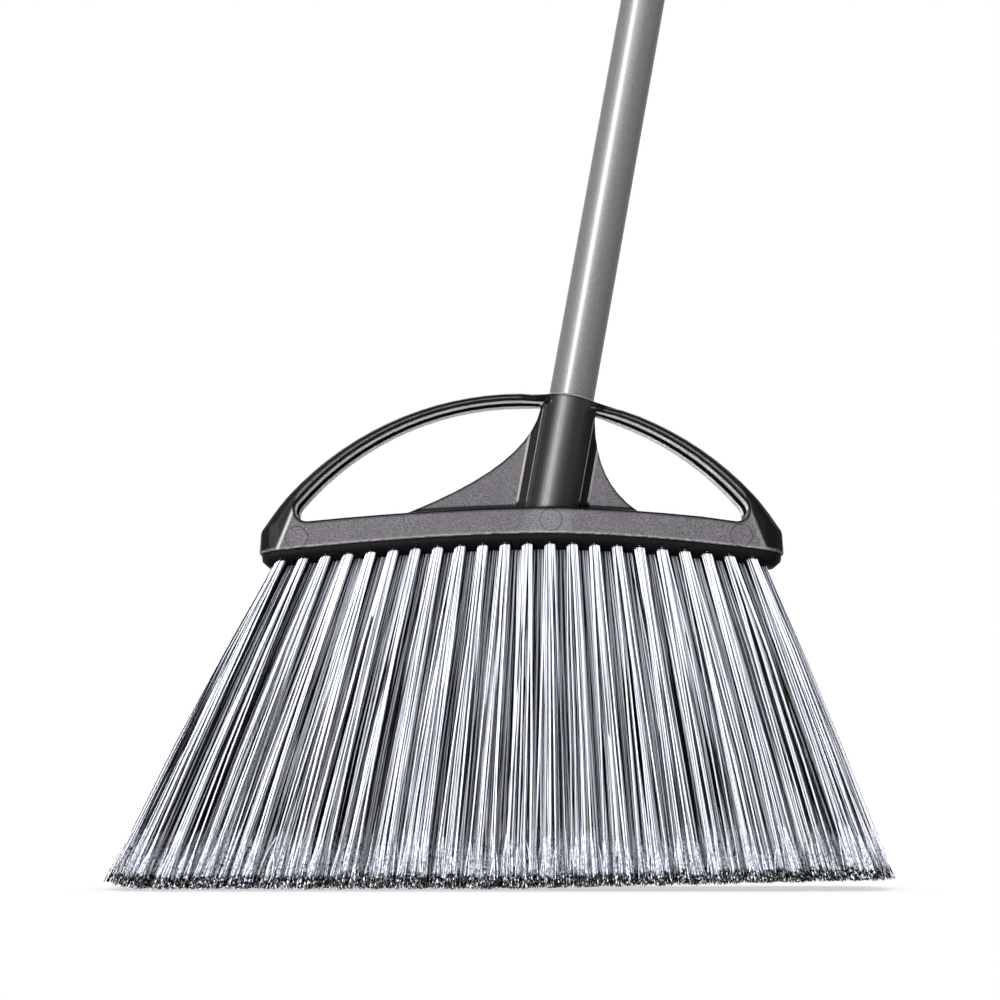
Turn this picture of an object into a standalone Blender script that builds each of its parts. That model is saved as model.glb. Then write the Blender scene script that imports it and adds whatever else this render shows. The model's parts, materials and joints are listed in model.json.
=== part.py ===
"""Angle broom: moulded arch head, fanned stapled tufts and a leaning screw-in steel handle.

Metres, +Z up. The broom stands on its bristles, with its bar along X and its front at -Y.
"""

import math

import bmesh
import bpy
from mathutils import Matrix, Vector

# Clearances and cuts
TOUCH_GAP = 0.0003
CUT_OVERRUN = 0.012
FOOT_TRIM = 0.0005

# Brush bar
BAR_LENGTH = 0.2534
BAR_DEPTH = 0.032
BAR_HEIGHT = 0.0128
BAR_END_DROP = 0.0095
CAMBER_POWER = 1.7
END_ROUND = 0.010
EDGE_ROUND = 0.0009
EDGE_ROUND_DEPTH = 0.0016

# Arch loop over the bar
ARCH_OPENING_HEIGHT = 0.0533
ARCH_BAND = 0.0041
ARCH_FOOT_RISE = 0.0004
LOOP_FOOT_RISE = 0.007
END_POST_WIDTH = 0.0121
LOOP_CORNER_RADIUS = 0.006
ARCH_DEPTH = 0.0246
ARCH_DEPTH_AT_SOCKET = 0.0165
SOCKET_BLEND_REACH = 0.016
ARCH_CROWN_DEPTH = 0.006
CROWN_SHARE = 0.62
PARTING_RIDGE_WIDTH = 0.0016
PARTING_RIDGE_HEIGHT = 0.0005

# Handle socket and the webs that brace it
LEAN = math.radians(10.3)
RIM_CENTRE_X = 0.0247
RIM_DROP = 0.0012
SOCKET_WALL = 0.0012
RIM_CHAMFER = 0.0008
TUBE_BORE_DEPTH = 0.032
TIP_BORE_DEPTH = 0.0275
WEB_THICKNESS = 0.008
LEFT_WEB_REACH = 0.078
RIGHT_WEB_REACH = 0.047
LEFT_WEB_TOP = 0.0145
RIGHT_WEB_TOP = 0.0118
FLANK_WIDTH = 0.034
FLANK_EDGE_THICKNESS = 0.0102
SHOULDER_THICKNESS = 0.0156
LEFT_SHOULDER_RUN = 0.008
RIGHT_SHOULDER_RUN = 0.013

# Steel handle
TUBE_OD = 0.0222
TUBE_WALL = 0.0007
TUBE_LENGTH = 1.160

# Threaded tip, modelled to its crest diameter
TIP_THREAD_OD = 0.0191
TIP_THREAD_LENGTH = 0.0265
TIP_NOSE_CHAMFER = 0.0025
TIP_COLLAR_THICKNESS = 0.002
TIP_PLUG_LENGTH = 0.028

# Hang cap
CAP_PLUG_LENGTH = 0.024
CAP_COLLAR_HEIGHT = 0.006
CAP_COLLAR_LIP = 0.0006
CAP_TAB_HEIGHT = 0.030
CAP_TAB_THICKNESS = 0.009
CAP_HOLE_OD = 0.011
CAP_EDGE_ROUND = 0.0012

# Bristle bed and tufts
BRISTLE_LENGTH = 0.1609
BELLY_DEPTH = 0.0065
BELLY_INSET = 0.0006
BELLY_END_CHAMFER = 0.0033
TUFT_END_MARGIN = 0.0057
TUFTS_IN_SHORT_ROW = 22
ROW_SPACING = 0.0074
ROW_COUNT = 4
STRAND_WIDTH = 0.0016
STRAND_GAP = 0.00025
STRAND_EMBED = 0.0012
FAN_CENTRE_X = 0.023
FAN_SPREAD = 1.475
ROW_SPREAD = 1.3
TUFT_FLARE = 3.0
TRIM_START_X = -0.010
TRIM_SLOPE = 0.033

# Facets
ARCH_STEPS = 30
CORNER_STEPS = 8
BAR_STEPS = 12
ROUND_STEPS = 3
CURVE_STEPS = 8
SOCKET_SIDES = 48
TUBE_SIDES = 32
BELLY_STEPS = 8
SMOOTH_ANGLE = math.radians(32)

# Sizes that follow
HALF_BAR = BAR_LENGTH / 2
HALF_DEPTH = BAR_DEPTH / 2
BAR_UNDERSIDE_Z = BRISTLE_LENGTH + BELLY_DEPTH
LOOP_TOP_Z = BAR_UNDERSIDE_Z + BAR_HEIGHT + ARCH_OPENING_HEIGHT
ARCH_TOP_Z = LOOP_TOP_Z + ARCH_BAND
RIM_CENTRE_Z = ARCH_TOP_Z - RIM_DROP
AXIS_SLOPE = math.tan(LEAN)
CREST_X = RIM_CENTRE_X - (RIM_CENTRE_Z - BAR_UNDERSIDE_Z) * AXIS_SLOPE
ARCH_RISE = ARCH_TOP_Z - BAR_UNDERSIDE_Z - ARCH_FOOT_RISE
ARCH_RADIUS = (HALF_BAR ** 2 + ARCH_RISE ** 2) / (2 * ARCH_RISE)
ARCH_CENTRE_Z = ARCH_TOP_Z - ARCH_RADIUS
LOOP_RISE = LOOP_TOP_Z - BAR_UNDERSIDE_Z - LOOP_FOOT_RISE
LOOP_HALF_WIDTH = HALF_BAR - END_POST_WIDTH
LOOP_RADIUS = (LOOP_HALF_WIDTH ** 2 + LOOP_RISE ** 2) / (2 * LOOP_RISE)
LOOP_CENTRE_Z = LOOP_TOP_Z - LOOP_RADIUS
LOFT_FLOOR_Z = BAR_UNDERSIDE_Z - BAR_END_DROP - CUT_OVERRUN
TUBE_BORE_RADIUS = TUBE_OD / 2 + TOUCH_GAP
TIP_BORE_RADIUS = TIP_THREAD_OD / 2 + TOUCH_GAP
SOCKET_RADIUS = TUBE_BORE_RADIUS + SOCKET_WALL
BORE_DEPTH = TUBE_BORE_DEPTH + TIP_BORE_DEPTH
TUBE_INNER_RADIUS = TUBE_OD / 2 - TUBE_WALL
PLUG_RADIUS = TUBE_INNER_RADIUS - TOUCH_GAP
TUBE_FOOT = TIP_COLLAR_THICKNESS + 2 * TOUCH_GAP
TUBE_TOP = TUBE_FOOT + TUBE_LENGTH
BELLY_HALF_DEPTH = HALF_DEPTH - BELLY_INSET
BELLY_RADIUS = (BELLY_HALF_DEPTH ** 2 + BELLY_DEPTH ** 2) / (2 * BELLY_DEPTH)
STRAND_STEP = STRAND_WIDTH + STRAND_GAP
TUFT_PITCH = (BAR_LENGTH - 2 * TUFT_END_MARGIN) / TUFTS_IN_SHORT_ROW
HALF_PITCH = TUFT_PITCH / 2
FIRST_TUFT_X = -TUFTS_IN_SHORT_ROW * HALF_PITCH


def clear_scene():
    """Empty the scene so the script can be run again."""
    for item in list(bpy.data.objects):
        bpy.data.objects.remove(item, do_unlink=True)


def make_material(name, colour, roughness, metallic):
    """A Principled material in one finish."""
    material = bpy.data.materials.new(name)
    material.use_nodes = True
    shader = material.node_tree.nodes["Principled BSDF"]
    shader.inputs["Base Color"].default_value = (*colour, 1)
    shader.inputs["Roughness"].default_value = roughness
    shader.inputs["Metallic"].default_value = metallic
    return material


def object_from(name, shape):
    """Turn a bmesh into a linked object with its faces pointing out."""
    bmesh.ops.recalc_face_normals(shape, faces=shape.faces)
    mesh = bpy.data.meshes.new(name)
    shape.to_mesh(mesh)
    shape.free()
    item = bpy.data.objects.new(name, mesh)
    bpy.context.scene.collection.objects.link(item)
    return item


def prism(name, outline, half_depth):
    """Extrude an XZ outline to both sides of the mid-plane."""
    shape = bmesh.new()
    corners = [shape.verts.new((x, -half_depth, z)) for x, z in outline]
    face = shape.faces.new(corners)
    grown = bmesh.ops.extrude_face_region(shape, geom=[face])
    moved = [part for part in grown["geom"] if isinstance(part, bmesh.types.BMVert)]
    bmesh.ops.translate(shape, verts=moved, vec=(0, 2 * half_depth, 0))
    return object_from(name, shape)


def turned(name, profile, sides):
    """Spin a closed (radius, height) profile round the Z axis."""
    shape = bmesh.new()
    points = [shape.verts.new((radius, 0, height)) for radius, height in profile]
    edges = [shape.edges.new((points[i - 1], points[i])) for i in range(len(points))]
    bmesh.ops.spin(shape, geom=points + edges, cent=(0, 0, 0), axis=(0, 0, 1),
                   angle=2 * math.pi, steps=sides, use_merge=True)
    bmesh.ops.remove_doubles(shape, verts=shape.verts, dist=TOUCH_GAP / 100)
    flat = [edge for edge in shape.edges if not edge.link_faces]
    bmesh.ops.delete(shape, geom=flat, context="EDGES")
    return object_from(name, shape)


def loft(name, rings, closed):
    """Skin a run of rings that all have the same number of points."""
    shape = bmesh.new()
    rows = [[shape.verts.new(point) for point in ring] for ring in rings]
    pairs = list(zip(rows, rows[1:]))
    if closed:
        pairs.append((rows[-1], rows[0]))
    else:
        shape.faces.new(rows[0])
        shape.faces.new(rows[-1])
    for near, far in pairs:
        for i in range(len(near)):
            shape.faces.new((near[i - 1], near[i], far[i], far[i - 1]))
    return object_from(name, shape)


def combine(target, tool, operation):
    """Apply one exact Boolean to the target and drop the tool."""
    modifier = target.modifiers.new(operation.title(), "BOOLEAN")
    modifier.operation = operation
    modifier.solver = "EXACT"
    modifier.object = tool
    graph = bpy.context.evaluated_depsgraph_get()
    result = bpy.data.meshes.new_from_object(target.evaluated_get(graph))
    target.modifiers.clear()
    target.data = result
    bpy.data.objects.remove(tool, do_unlink=True)


def finish(item, material):
    """Give a piece its finish and smooth its round faces."""
    item.data.materials.clear()
    item.data.materials.append(material)
    item.data.shade_smooth()
    item.data.set_sharp_from_angle(angle=SMOOTH_ANGLE)


def bezier(start, guide, end, steps):
    """Points of a quadratic curve from start towards guide and on to end."""
    points = []
    for step in range(steps + 1):
        t = step / steps
        points.append(tuple((1 - t) ** 2 * a + 2 * t * (1 - t) * b + t ** 2 * c
                            for a, b, c in zip(start, guide, end)))
    return points


def axis_x(z):
    """Where the handle's axis crosses height z."""
    return RIM_CENTRE_X - (RIM_CENTRE_Z - z) * AXIS_SLOPE


def underside_z(x):
    """Height of the bar's cambered underside, highest below the handle."""
    reach = HALF_BAR + CREST_X if x < CREST_X else HALF_BAR - CREST_X
    return BAR_UNDERSIDE_Z - BAR_END_DROP * (abs(x - CREST_X) / reach) ** CAMBER_POWER


def bar_top_z(x):
    """Height of the bar's upper face."""
    return underside_z(x) + BAR_HEIGHT


def corner_centre_x():
    """Where the loop's lower corner arc is centred: it touches the loop and the bar's top."""
    near, far = 0, LOOP_RADIUS
    for _ in range(40):
        middle = (near + far) / 2
        rise = bar_top_z(-middle) + LOOP_CORNER_RADIUS - LOOP_CENTRE_Z
        if math.hypot(middle, rise) < LOOP_RADIUS - LOOP_CORNER_RADIUS:
            near = middle
        else:
            far = middle
    return near


def outline_distance(x, z, step_x, step_z):
    """How far a ray from (x, z) runs before it leaves the head's outer outline."""
    rise = z - ARCH_CENTRE_Z
    along = x * step_x + rise * step_z
    reach = -along + math.sqrt(along ** 2 + ARCH_RADIUS ** 2 - x ** 2 - rise ** 2)
    if step_x:
        reach = min(reach, (math.copysign(HALF_BAR, step_x) - x) / step_x)
    if step_z < 0:
        reach = min(reach, (LOFT_FLOOR_Z - z) / step_z)
    return reach


def loop_stations():
    """Inner and outer outline points, paired all the way round the loop."""
    centre_x = corner_centre_x()
    centre_z = bar_top_z(-centre_x) + LOOP_CORNER_RADIUS
    swing = math.atan2(centre_x, centre_z - LOOP_CENTRE_Z)
    stations = []
    for step in range(ARCH_STEPS + 1):
        angle = swing * (2 * step / ARCH_STEPS - 1)
        way = (math.sin(angle), math.cos(angle))
        inner = (LOOP_RADIUS * way[0], LOOP_CENTRE_Z + LOOP_RADIUS * way[1])
        reach = outline_distance(*inner, *way)
        stations.append((inner, (inner[0] + reach * way[0], inner[1] + reach * way[1])))
    for step in range(1, CORNER_STEPS + 1):
        angle = swing + (math.pi - swing) * step / CORNER_STEPS
        way = (math.sin(angle), math.cos(angle))
        inner = (centre_x + LOOP_CORNER_RADIUS * way[0], centre_z + LOOP_CORNER_RADIUS * way[1])
        reach = outline_distance(*inner, *way)
        stations.append((inner, (inner[0] + reach * way[0], inner[1] + reach * way[1])))
    for step in range(1, BAR_STEPS):
        x = centre_x * (1 - 2 * step / BAR_STEPS)
        stations.append(((x, bar_top_z(x)), (x, LOFT_FLOOR_Z)))
    for step in range(CORNER_STEPS):
        angle = -math.pi + (math.pi - swing) * step / CORNER_STEPS
        way = (math.sin(angle), math.cos(angle))
        inner = (-centre_x + LOOP_CORNER_RADIUS * way[0], centre_z + LOOP_CORNER_RADIUS * way[1])
        reach = outline_distance(*inner, *way)
        stations.append((inner, (inner[0] + reach * way[0], inner[1] + reach * way[1])))
    return stations


def half_depth_at(inner):
    """Half the head's depth: full along the bar, slimmer up the arch and slimmest at the socket."""
    bar_top = BAR_UNDERSIDE_Z + BAR_HEIGHT
    height = max(inner[1] - bar_top, 0) / (LOOP_TOP_Z - bar_top)
    depth = HALF_DEPTH + (ARCH_DEPTH / 2 - HALF_DEPTH) * height
    clear = abs(inner[0] - axis_x(ARCH_TOP_Z)) - SOCKET_RADIUS
    if clear < SOCKET_BLEND_REACH and height > 0:
        ease = max(clear, 0) / SOCKET_BLEND_REACH
        slim = ARCH_DEPTH_AT_SOCKET / 2
        depth = slim + (depth - slim) * ease * (2 - ease)
    return depth


def corner_arc(depth, offset, round_depth, round_offset, inward):
    """A quarter ellipse of a section's corner, from its side face to its edge face."""
    points = []
    for step in range(ROUND_STEPS + 1):
        angle = math.pi / 2 * step / ROUND_STEPS
        points.append((depth - round_depth * (1 - math.cos(angle)),
                       offset + inward * round_offset * (1 - math.sin(angle))))
    return points


def loop_ring(inner, outer):
    """One crowned section of the loop, as points round the band."""
    run = Vector((outer[0] - inner[0], outer[1] - inner[1]))
    thickness = run.length
    way = run / thickness
    depth = half_depth_at(inner)
    steepness = abs(way.x) if abs(outer[0]) > HALF_BAR - TOUCH_GAP else 1
    crown = min(END_ROUND / steepness, CROWN_SHARE * thickness)
    fullness = min(crown / END_ROUND, 1)
    spread = ARCH_CROWN_DEPTH + (END_ROUND - ARCH_CROWN_DEPTH) * fullness
    far_side = corner_arc(depth, thickness, spread, crown, -1)
    near_side = corner_arc(depth, 0, EDGE_ROUND_DEPTH, EDGE_ROUND, 1)
    ridge = [(PARTING_RIDGE_WIDTH / 2, 0), (0, -PARTING_RIDGE_HEIGHT), (-PARTING_RIDGE_WIDTH / 2, 0)]
    section = far_side[::-1] + near_side
    section += ridge
    section += [(-y, offset) for y, offset in reversed(near_side)]
    section += [(-y, offset) for y, offset in far_side]
    return [(inner[0] + offset * way.x, y, inner[1] + offset * way.y) for y, offset in section]


def axis_matrix(depth):
    """Frame on the handle's axis, +Z up the handle, at a depth below the socket's rim."""
    rim = Matrix.Translation((RIM_CENTRE_X, 0, RIM_CENTRE_Z))
    return rim @ Matrix.Rotation(LEAN, 4, "Y") @ Matrix.Translation((0, 0, -depth))


def web_outline(inset):
    """Both concave free edges of the webs, closed inside the arch and inside the bar."""
    top_z = ARCH_TOP_Z - ARCH_BAND / 2 - inset
    left_top = (axis_x(top_z) - LEFT_WEB_TOP, top_z)
    right_top = (axis_x(top_z) + RIGHT_WEB_TOP, top_z - ARCH_BAND)
    sunk = BAR_HEIGHT / 3
    foot_x = axis_x(bar_top_z(CREST_X))
    left_x = foot_x - LEFT_WEB_REACH
    right_x = foot_x + RIGHT_WEB_REACH
    left_foot = (left_x, bar_top_z(left_x) - EDGE_ROUND)
    right_foot = (right_x, bar_top_z(right_x) - EDGE_ROUND)
    left_guide = (left_top[0] - LEFT_WEB_TOP / 9, bar_top_z(CREST_X) + LEFT_WEB_REACH * 0.29)
    right_guide = (right_top[0] - RIGHT_WEB_TOP / 4, bar_top_z(CREST_X) + RIGHT_WEB_REACH * 0.24)
    left = bezier(left_top, left_guide, left_foot, CURVE_STEPS + 4)
    right = bezier(right_foot, right_guide, right_top, CURVE_STEPS + 2)
    left.append((left_x, left_foot[1] - sunk + inset))
    right.insert(0, (right_x, right_foot[1] - sunk + inset))
    return [(x + inset, z) for x, z in left] + [(x - inset, z) for x, z in right]


def flank_section():
    """Section across the socket: concave flanks that run out from the barrel to a crisp edge."""
    edge = (FLANK_WIDTH / 2, FLANK_EDGE_THICKNESS / 2)
    barrel = SOCKET_RADIUS * math.sqrt(0.5)
    guide = (SOCKET_RADIUS * 0.98, FLANK_EDGE_THICKNESS * 0.55)
    quarter = bezier(edge, guide, (barrel, barrel), 4)
    front = quarter + [(-x, y) for x, y in reversed(quarter)]
    return front + [(x, -y) for x, y in reversed(front)]


def make_webs():
    """Gusset webs with the socket's flanks on them."""
    webs = prism("webs", web_outline(0), WEB_THICKNESS / 2)
    flanks = prism("flanks", web_outline(TOUCH_GAP), SOCKET_RADIUS)
    length = BORE_DEPTH + CUT_OVERRUN
    base = axis_matrix(length)
    ends = [[base @ Vector((x, y, z)) for x, y in flank_section()]
            for z in (0, length + CUT_OVERRUN)]
    sleeve = loft("sleeve", ends, closed=False)
    combine(flanks, sleeve, "INTERSECT")
    combine(webs, flanks, "UNION")
    return webs


def make_shoulder():
    """Small fillets where the arch climbs to the socket's rim on both sides."""
    meeting = TUBE_BORE_RADIUS - EDGE_ROUND
    rim_left = axis_matrix(RIM_CHAMFER) @ Vector((-meeting, 0, 0))
    rim_right = axis_matrix(RIM_CHAMFER) @ Vector((meeting, 0, 0))

    def arch_point(x):
        return (x, ARCH_CENTRE_Z + math.sqrt(ARCH_RADIUS ** 2 - x ** 2) - EDGE_ROUND / 3)

    left_end = arch_point(rim_left.x - LEFT_SHOULDER_RUN)
    right_end = arch_point(rim_right.x + RIGHT_SHOULDER_RUN)
    left_guide = arch_point(rim_left.x - LEFT_SHOULDER_RUN / 3)
    right_guide = arch_point(rim_right.x + RIGHT_SHOULDER_RUN / 3)
    left = bezier(left_end, left_guide, (rim_left.x, rim_left.z), CURVE_STEPS // 2)
    right = bezier((rim_right.x, rim_right.z), right_guide, right_end, CURVE_STEPS // 2)
    below = [(right_end[0], right_end[1] - ARCH_BAND / 3), (rim_right.x, LOOP_TOP_Z - ARCH_BAND),
             (rim_left.x, LOOP_TOP_Z), (left_end[0], left_end[1] - ARCH_BAND / 3)]
    return prism("shoulder", left + right + below, SHOULDER_THICKNESS / 2)


def make_barrel():
    """Outside of the handle socket, chamfered at its rim."""
    foot = -(BORE_DEPTH + BAR_HEIGHT / 3)
    profile = [(0, 0), (SOCKET_RADIUS - RIM_CHAMFER, 0), (SOCKET_RADIUS, -RIM_CHAMFER),
               (SOCKET_RADIUS, foot), (0, foot)]
    barrel = turned("barrel", profile, SOCKET_SIDES)
    barrel.data.transform(axis_matrix(0))
    return barrel


def make_bore():
    """Stepped bore: wide for the tube, narrower below for the threaded tip."""
    profile = [(0, CUT_OVERRUN), (TUBE_BORE_RADIUS, CUT_OVERRUN), (TUBE_BORE_RADIUS, -TUBE_BORE_DEPTH),
               (TIP_BORE_RADIUS, -TUBE_BORE_DEPTH), (TIP_BORE_RADIUS, -BORE_DEPTH), (0, -BORE_DEPTH)]
    bore = turned("bore", profile, SOCKET_SIDES)
    bore.data.transform(axis_matrix(0))
    return bore


def make_underside_cut():
    """Everything below the bar's cambered underside."""
    reach = HALF_BAR + CUT_OVERRUN
    steps = 2 * BAR_STEPS
    curve = []
    for step in range(steps + 1):
        x = reach * (2 * step / steps - 1)
        curve.append((x, underside_z(x)))
    floor = LOFT_FLOOR_Z - CUT_OVERRUN
    return prism("underside_cut", curve + [(reach, floor), (-reach, floor)], HALF_DEPTH + CUT_OVERRUN)


def make_head(material):
    """One moulding: bar, arch loop, webs and handle socket."""
    rings = [loop_ring(inner, outer) for inner, outer in loop_stations()]
    head = loft("broom_head", rings, closed=True)
    combine(head, make_underside_cut(), "DIFFERENCE")
    combine(head, make_webs(), "UNION")
    combine(head, make_shoulder(), "UNION")
    combine(head, make_barrel(), "UNION")
    combine(head, make_bore(), "DIFFERENCE")
    finish(head, material)
    return head


def bed_half_depth(x):
    """Half depth of the bristle bed, rounded in plan at the bar's ends."""
    past = abs(x) - (HALF_BAR - END_ROUND)
    if past <= 0:
        return BELLY_HALF_DEPTH
    return BELLY_HALF_DEPTH - END_ROUND + math.sqrt(max(END_ROUND ** 2 - past ** 2, 0))


def belly_drop(y):
    """How far the bed's crowned underside hangs below its top at y."""
    return math.sqrt(BELLY_RADIUS ** 2 - y ** 2) - (BELLY_RADIUS - BELLY_DEPTH)


def bed_floor_z(x):
    """Height of the bed's lowest line, where the tufts' spacing is measured."""
    return underside_z(x) - TOUCH_GAP - BELLY_DEPTH


def bed_ring(x, leaning):
    """Section of the bristle bed at x: flat on top, crowned below, chamfered at the bar's ends.

    A leaning section follows the fan of the tufts on both sides of it.
    """
    top = underside_z(x) - TOUCH_GAP
    half = bed_half_depth(x)
    to_end = HALF_BAR - BELLY_INSET - abs(x)
    lift = max(BELLY_END_CHAMFER - to_end, 0)
    ring = [(-half, top), (half, top)]
    for step in range(BELLY_STEPS + 1):
        y = half * (1 - 2 * step / BELLY_STEPS)
        ring.append((y, top - max(belly_drop(y) - lift, 2 * TOUCH_GAP)))
    if not leaning:
        return [(x, y, z) for y, z in ring]
    return [(fan_place((x, 0), foot_point(x, 0), bed_floor_z(x), z)[0], y, z) for y, z in ring]


def tuft_roots(slice_number):
    """Roots (x, y) of the tufts in one slice: two staggered rows, each there twice."""
    roots = []
    for row in range(ROW_COUNT):
        y = ROW_SPACING * (row - (ROW_COUNT - 1) / 2)
        if row % 2:
            roots.append((FIRST_TUFT_X + slice_number * TUFT_PITCH, y))
        elif slice_number < TUFTS_IN_SHORT_ROW:
            roots.append((FIRST_TUFT_X + HALF_PITCH + slice_number * TUFT_PITCH, y))
    return roots


def foot_point(x, y):
    """Where the middle of a tuft rooted at (x, y) meets the floor."""
    return FAN_CENTRE_X + (x - FAN_CENTRE_X) * FAN_SPREAD, y * ROW_SPREAD


def fan_place(root, foot, floor_z, z):
    """Where the straight line from a root at floor_z to its foot passes height z."""
    share = (floor_z - z) / floor_z
    return [root[i] + (foot[i] - root[i]) * share for i in range(2)]


def trim_z(x):
    """Height of the bristles' cut above the floor: it slants up towards the bar's right end."""
    return max(x - TRIM_START_X, 0) * TRIM_SLOPE


def add_strand(shape, root, foot):
    """A four-sided strand from inside the bed to its foot, a little too long where it stands."""
    floor_z = bed_floor_z(root[0])
    top_z = floor_z + BELLY_DEPTH - belly_drop(root[1]) + STRAND_EMBED
    low_z = trim_z(foot[0]) or -FOOT_TRIM
    high = fan_place(root, foot, floor_z, top_z)
    low = fan_place(root, foot, floor_z, low_z)
    half = STRAND_WIDTH / 2
    corners = [(-half, -half), (half, -half), (half, half), (-half, half)]
    upper = [shape.verts.new((high[0] + x, high[1] + y, top_z)) for x, y in corners]
    lower = [shape.verts.new((low[0] + x, low[1] + y, low_z)) for x, y in corners]
    shape.faces.new(upper)
    shape.faces.new(lower)
    for i in range(4):
        shape.faces.new((upper[i - 1], upper[i], lower[i], lower[i - 1]))


def make_strands(roots):
    """Every strand of some tufts, cut flat on the floor."""
    shape = bmesh.new()
    for x, y in roots:
        foot_x, foot_y = foot_point(x, y)
        for step_x, step_y in ((0, 0), (1, 0), (-1, 0), (0, 1), (0, -1)):
            root = (x + step_x * STRAND_STEP, y + step_y * STRAND_STEP)
            foot = (foot_x + step_x * STRAND_STEP * TUFT_FLARE,
                    foot_y + step_y * STRAND_STEP * TUFT_FLARE)
            add_strand(shape, root, foot)
    everything = shape.verts[:] + shape.edges[:] + shape.faces[:]
    bmesh.ops.bisect_plane(shape, geom=everything, plane_co=(0, 0, 0), plane_no=(0, 0, -1),
                           clear_outer=True)
    rims = [edge for edge in shape.edges if edge.is_boundary]
    bmesh.ops.edgeloop_fill(shape, edges=rims)
    return object_from("strands", shape)


def slice_limits(slice_number):
    """Where one slice of the bristle bed starts and ends along the bar."""
    first = FIRST_TUFT_X - TUFT_PITCH / 4
    start = first + slice_number * TUFT_PITCH + TOUCH_GAP / 2
    end = first + (slice_number + 1) * TUFT_PITCH - TOUCH_GAP / 2
    bed_end = HALF_BAR - BELLY_INSET
    if slice_number == 0:
        start = -bed_end
    if slice_number == TUFTS_IN_SHORT_ROW:
        end = bed_end
    return start, end


def make_tuft_slice(slice_number, material):
    """A slice of the bristle bed with its tufts fused to it."""
    start, end = slice_limits(slice_number)
    stations = {start, end}
    bed_end = HALF_BAR - BELLY_INSET
    for step in range(1, ROUND_STEPS + 2):
        inset = BELLY_END_CHAMFER * step / 2
        stations.update(x for x in (inset - bed_end, bed_end - inset) if start < x < end)
    rings = [bed_ring(x, x in (start, end) and abs(x) < bed_end) for x in sorted(stations)]
    name = f"tuft_slice_{slice_number + 1:02d}"
    piece = loft(name, rings, closed=False)
    combine(piece, make_strands(tuft_roots(slice_number)), "UNION")
    finish(piece, material)
    return piece


def make_tube(material):
    """Steel handle tube, open at both ends, its foot on the tip's collar."""
    outer = TUBE_OD / 2
    profile = [(outer, TUBE_TOP), (outer, TUBE_FOOT), (TUBE_INNER_RADIUS, TUBE_FOOT),
               (TUBE_INNER_RADIUS, TUBE_TOP)]
    tube = turned("handle_tube", profile, TUBE_SIDES)
    finish(tube, material)
    return tube


def make_tip(material):
    """Threaded tip: plug in the tube, collar below it, screw part with a chamfered nose."""
    crest = TIP_THREAD_OD / 2
    collar = TUBE_OD / 2
    nose = -TIP_THREAD_LENGTH
    top = TUBE_FOOT + TIP_PLUG_LENGTH
    profile = [(0, nose), (crest - TIP_NOSE_CHAMFER, nose), (crest, nose + TIP_NOSE_CHAMFER),
               (crest, TOUCH_GAP), (collar, TOUCH_GAP), (collar, TOUCH_GAP + TIP_COLLAR_THICKNESS),
               (PLUG_RADIUS, TOUCH_GAP + TIP_COLLAR_THICKNESS), (PLUG_RADIUS, top - EDGE_ROUND),
               (PLUG_RADIUS - EDGE_ROUND, top), (0, top)]
    tip = turned("threaded_tip", profile, TUBE_SIDES)
    finish(tip, material)
    return tip


def make_cap(material):
    """Hang cap: plug in the tube, collar on its end, flat tab with a hanging hole."""
    collar_foot = TUBE_TOP + TOUCH_GAP
    collar_top = collar_foot + CAP_COLLAR_HEIGHT
    collar = TUBE_OD / 2 + CAP_COLLAR_LIP
    foot = TUBE_TOP - CAP_PLUG_LENGTH
    tab_half = TUBE_OD / 2
    profile = [(0, foot), (PLUG_RADIUS - EDGE_ROUND, foot), (PLUG_RADIUS, foot + EDGE_ROUND),
               (PLUG_RADIUS, collar_foot), (collar, collar_foot), (collar, collar_top - EDGE_ROUND),
               (collar - EDGE_ROUND, collar_top), (0, collar_top)]
    cap = turned("hang_cap", profile, TUBE_SIDES)
    round_z = collar_top + CAP_TAB_HEIGHT - tab_half
    sunk_z = collar_foot + CAP_COLLAR_HEIGHT / 2
    outline = [(tab_half - EDGE_ROUND, sunk_z)]
    for step in range(2 * CURVE_STEPS + 1):
        angle = math.pi * step / (2 * CURVE_STEPS)
        outline.append((tab_half * math.cos(angle), round_z + tab_half * math.sin(angle)))
    outline.append((EDGE_ROUND - tab_half, sunk_z))
    tab = prism("tab", outline, CAP_TAB_THICKNESS / 2)
    rounding = tab.modifiers.new("Rounded edges", "BEVEL")
    rounding.width = CAP_EDGE_ROUND
    rounding.segments = 2
    rounding.limit_method = "ANGLE"
    rounding.angle_limit = math.radians(60)
    hole = []
    for step in range(3 * CURVE_STEPS):
        angle = 2 * math.pi * step / (3 * CURVE_STEPS)
        hole.append((CAP_HOLE_OD / 2 * math.cos(angle), round_z + CAP_HOLE_OD / 2 * math.sin(angle)))
    combine(cap, tab, "UNION")
    combine(cap, prism("hole", hole, CAP_TAB_THICKNESS), "DIFFERENCE")
    finish(cap, material)
    return cap


def make_empty(name, matrix, parent):
    """A guide frame that carries pieces."""
    frame = bpy.data.objects.new(name, None)
    bpy.context.scene.collection.objects.link(frame)
    frame.parent = parent
    frame.matrix_local = matrix
    return frame


def centre_over_origin(frame, pieces):
    """Slide the whole broom along X until its overall box is centred."""
    bpy.context.view_layer.update()
    places = [(piece.matrix_world @ vertex.co).x for piece in pieces for vertex in piece.data.vertices]
    frame.location.x = -(min(places) + max(places)) / 2


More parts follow.
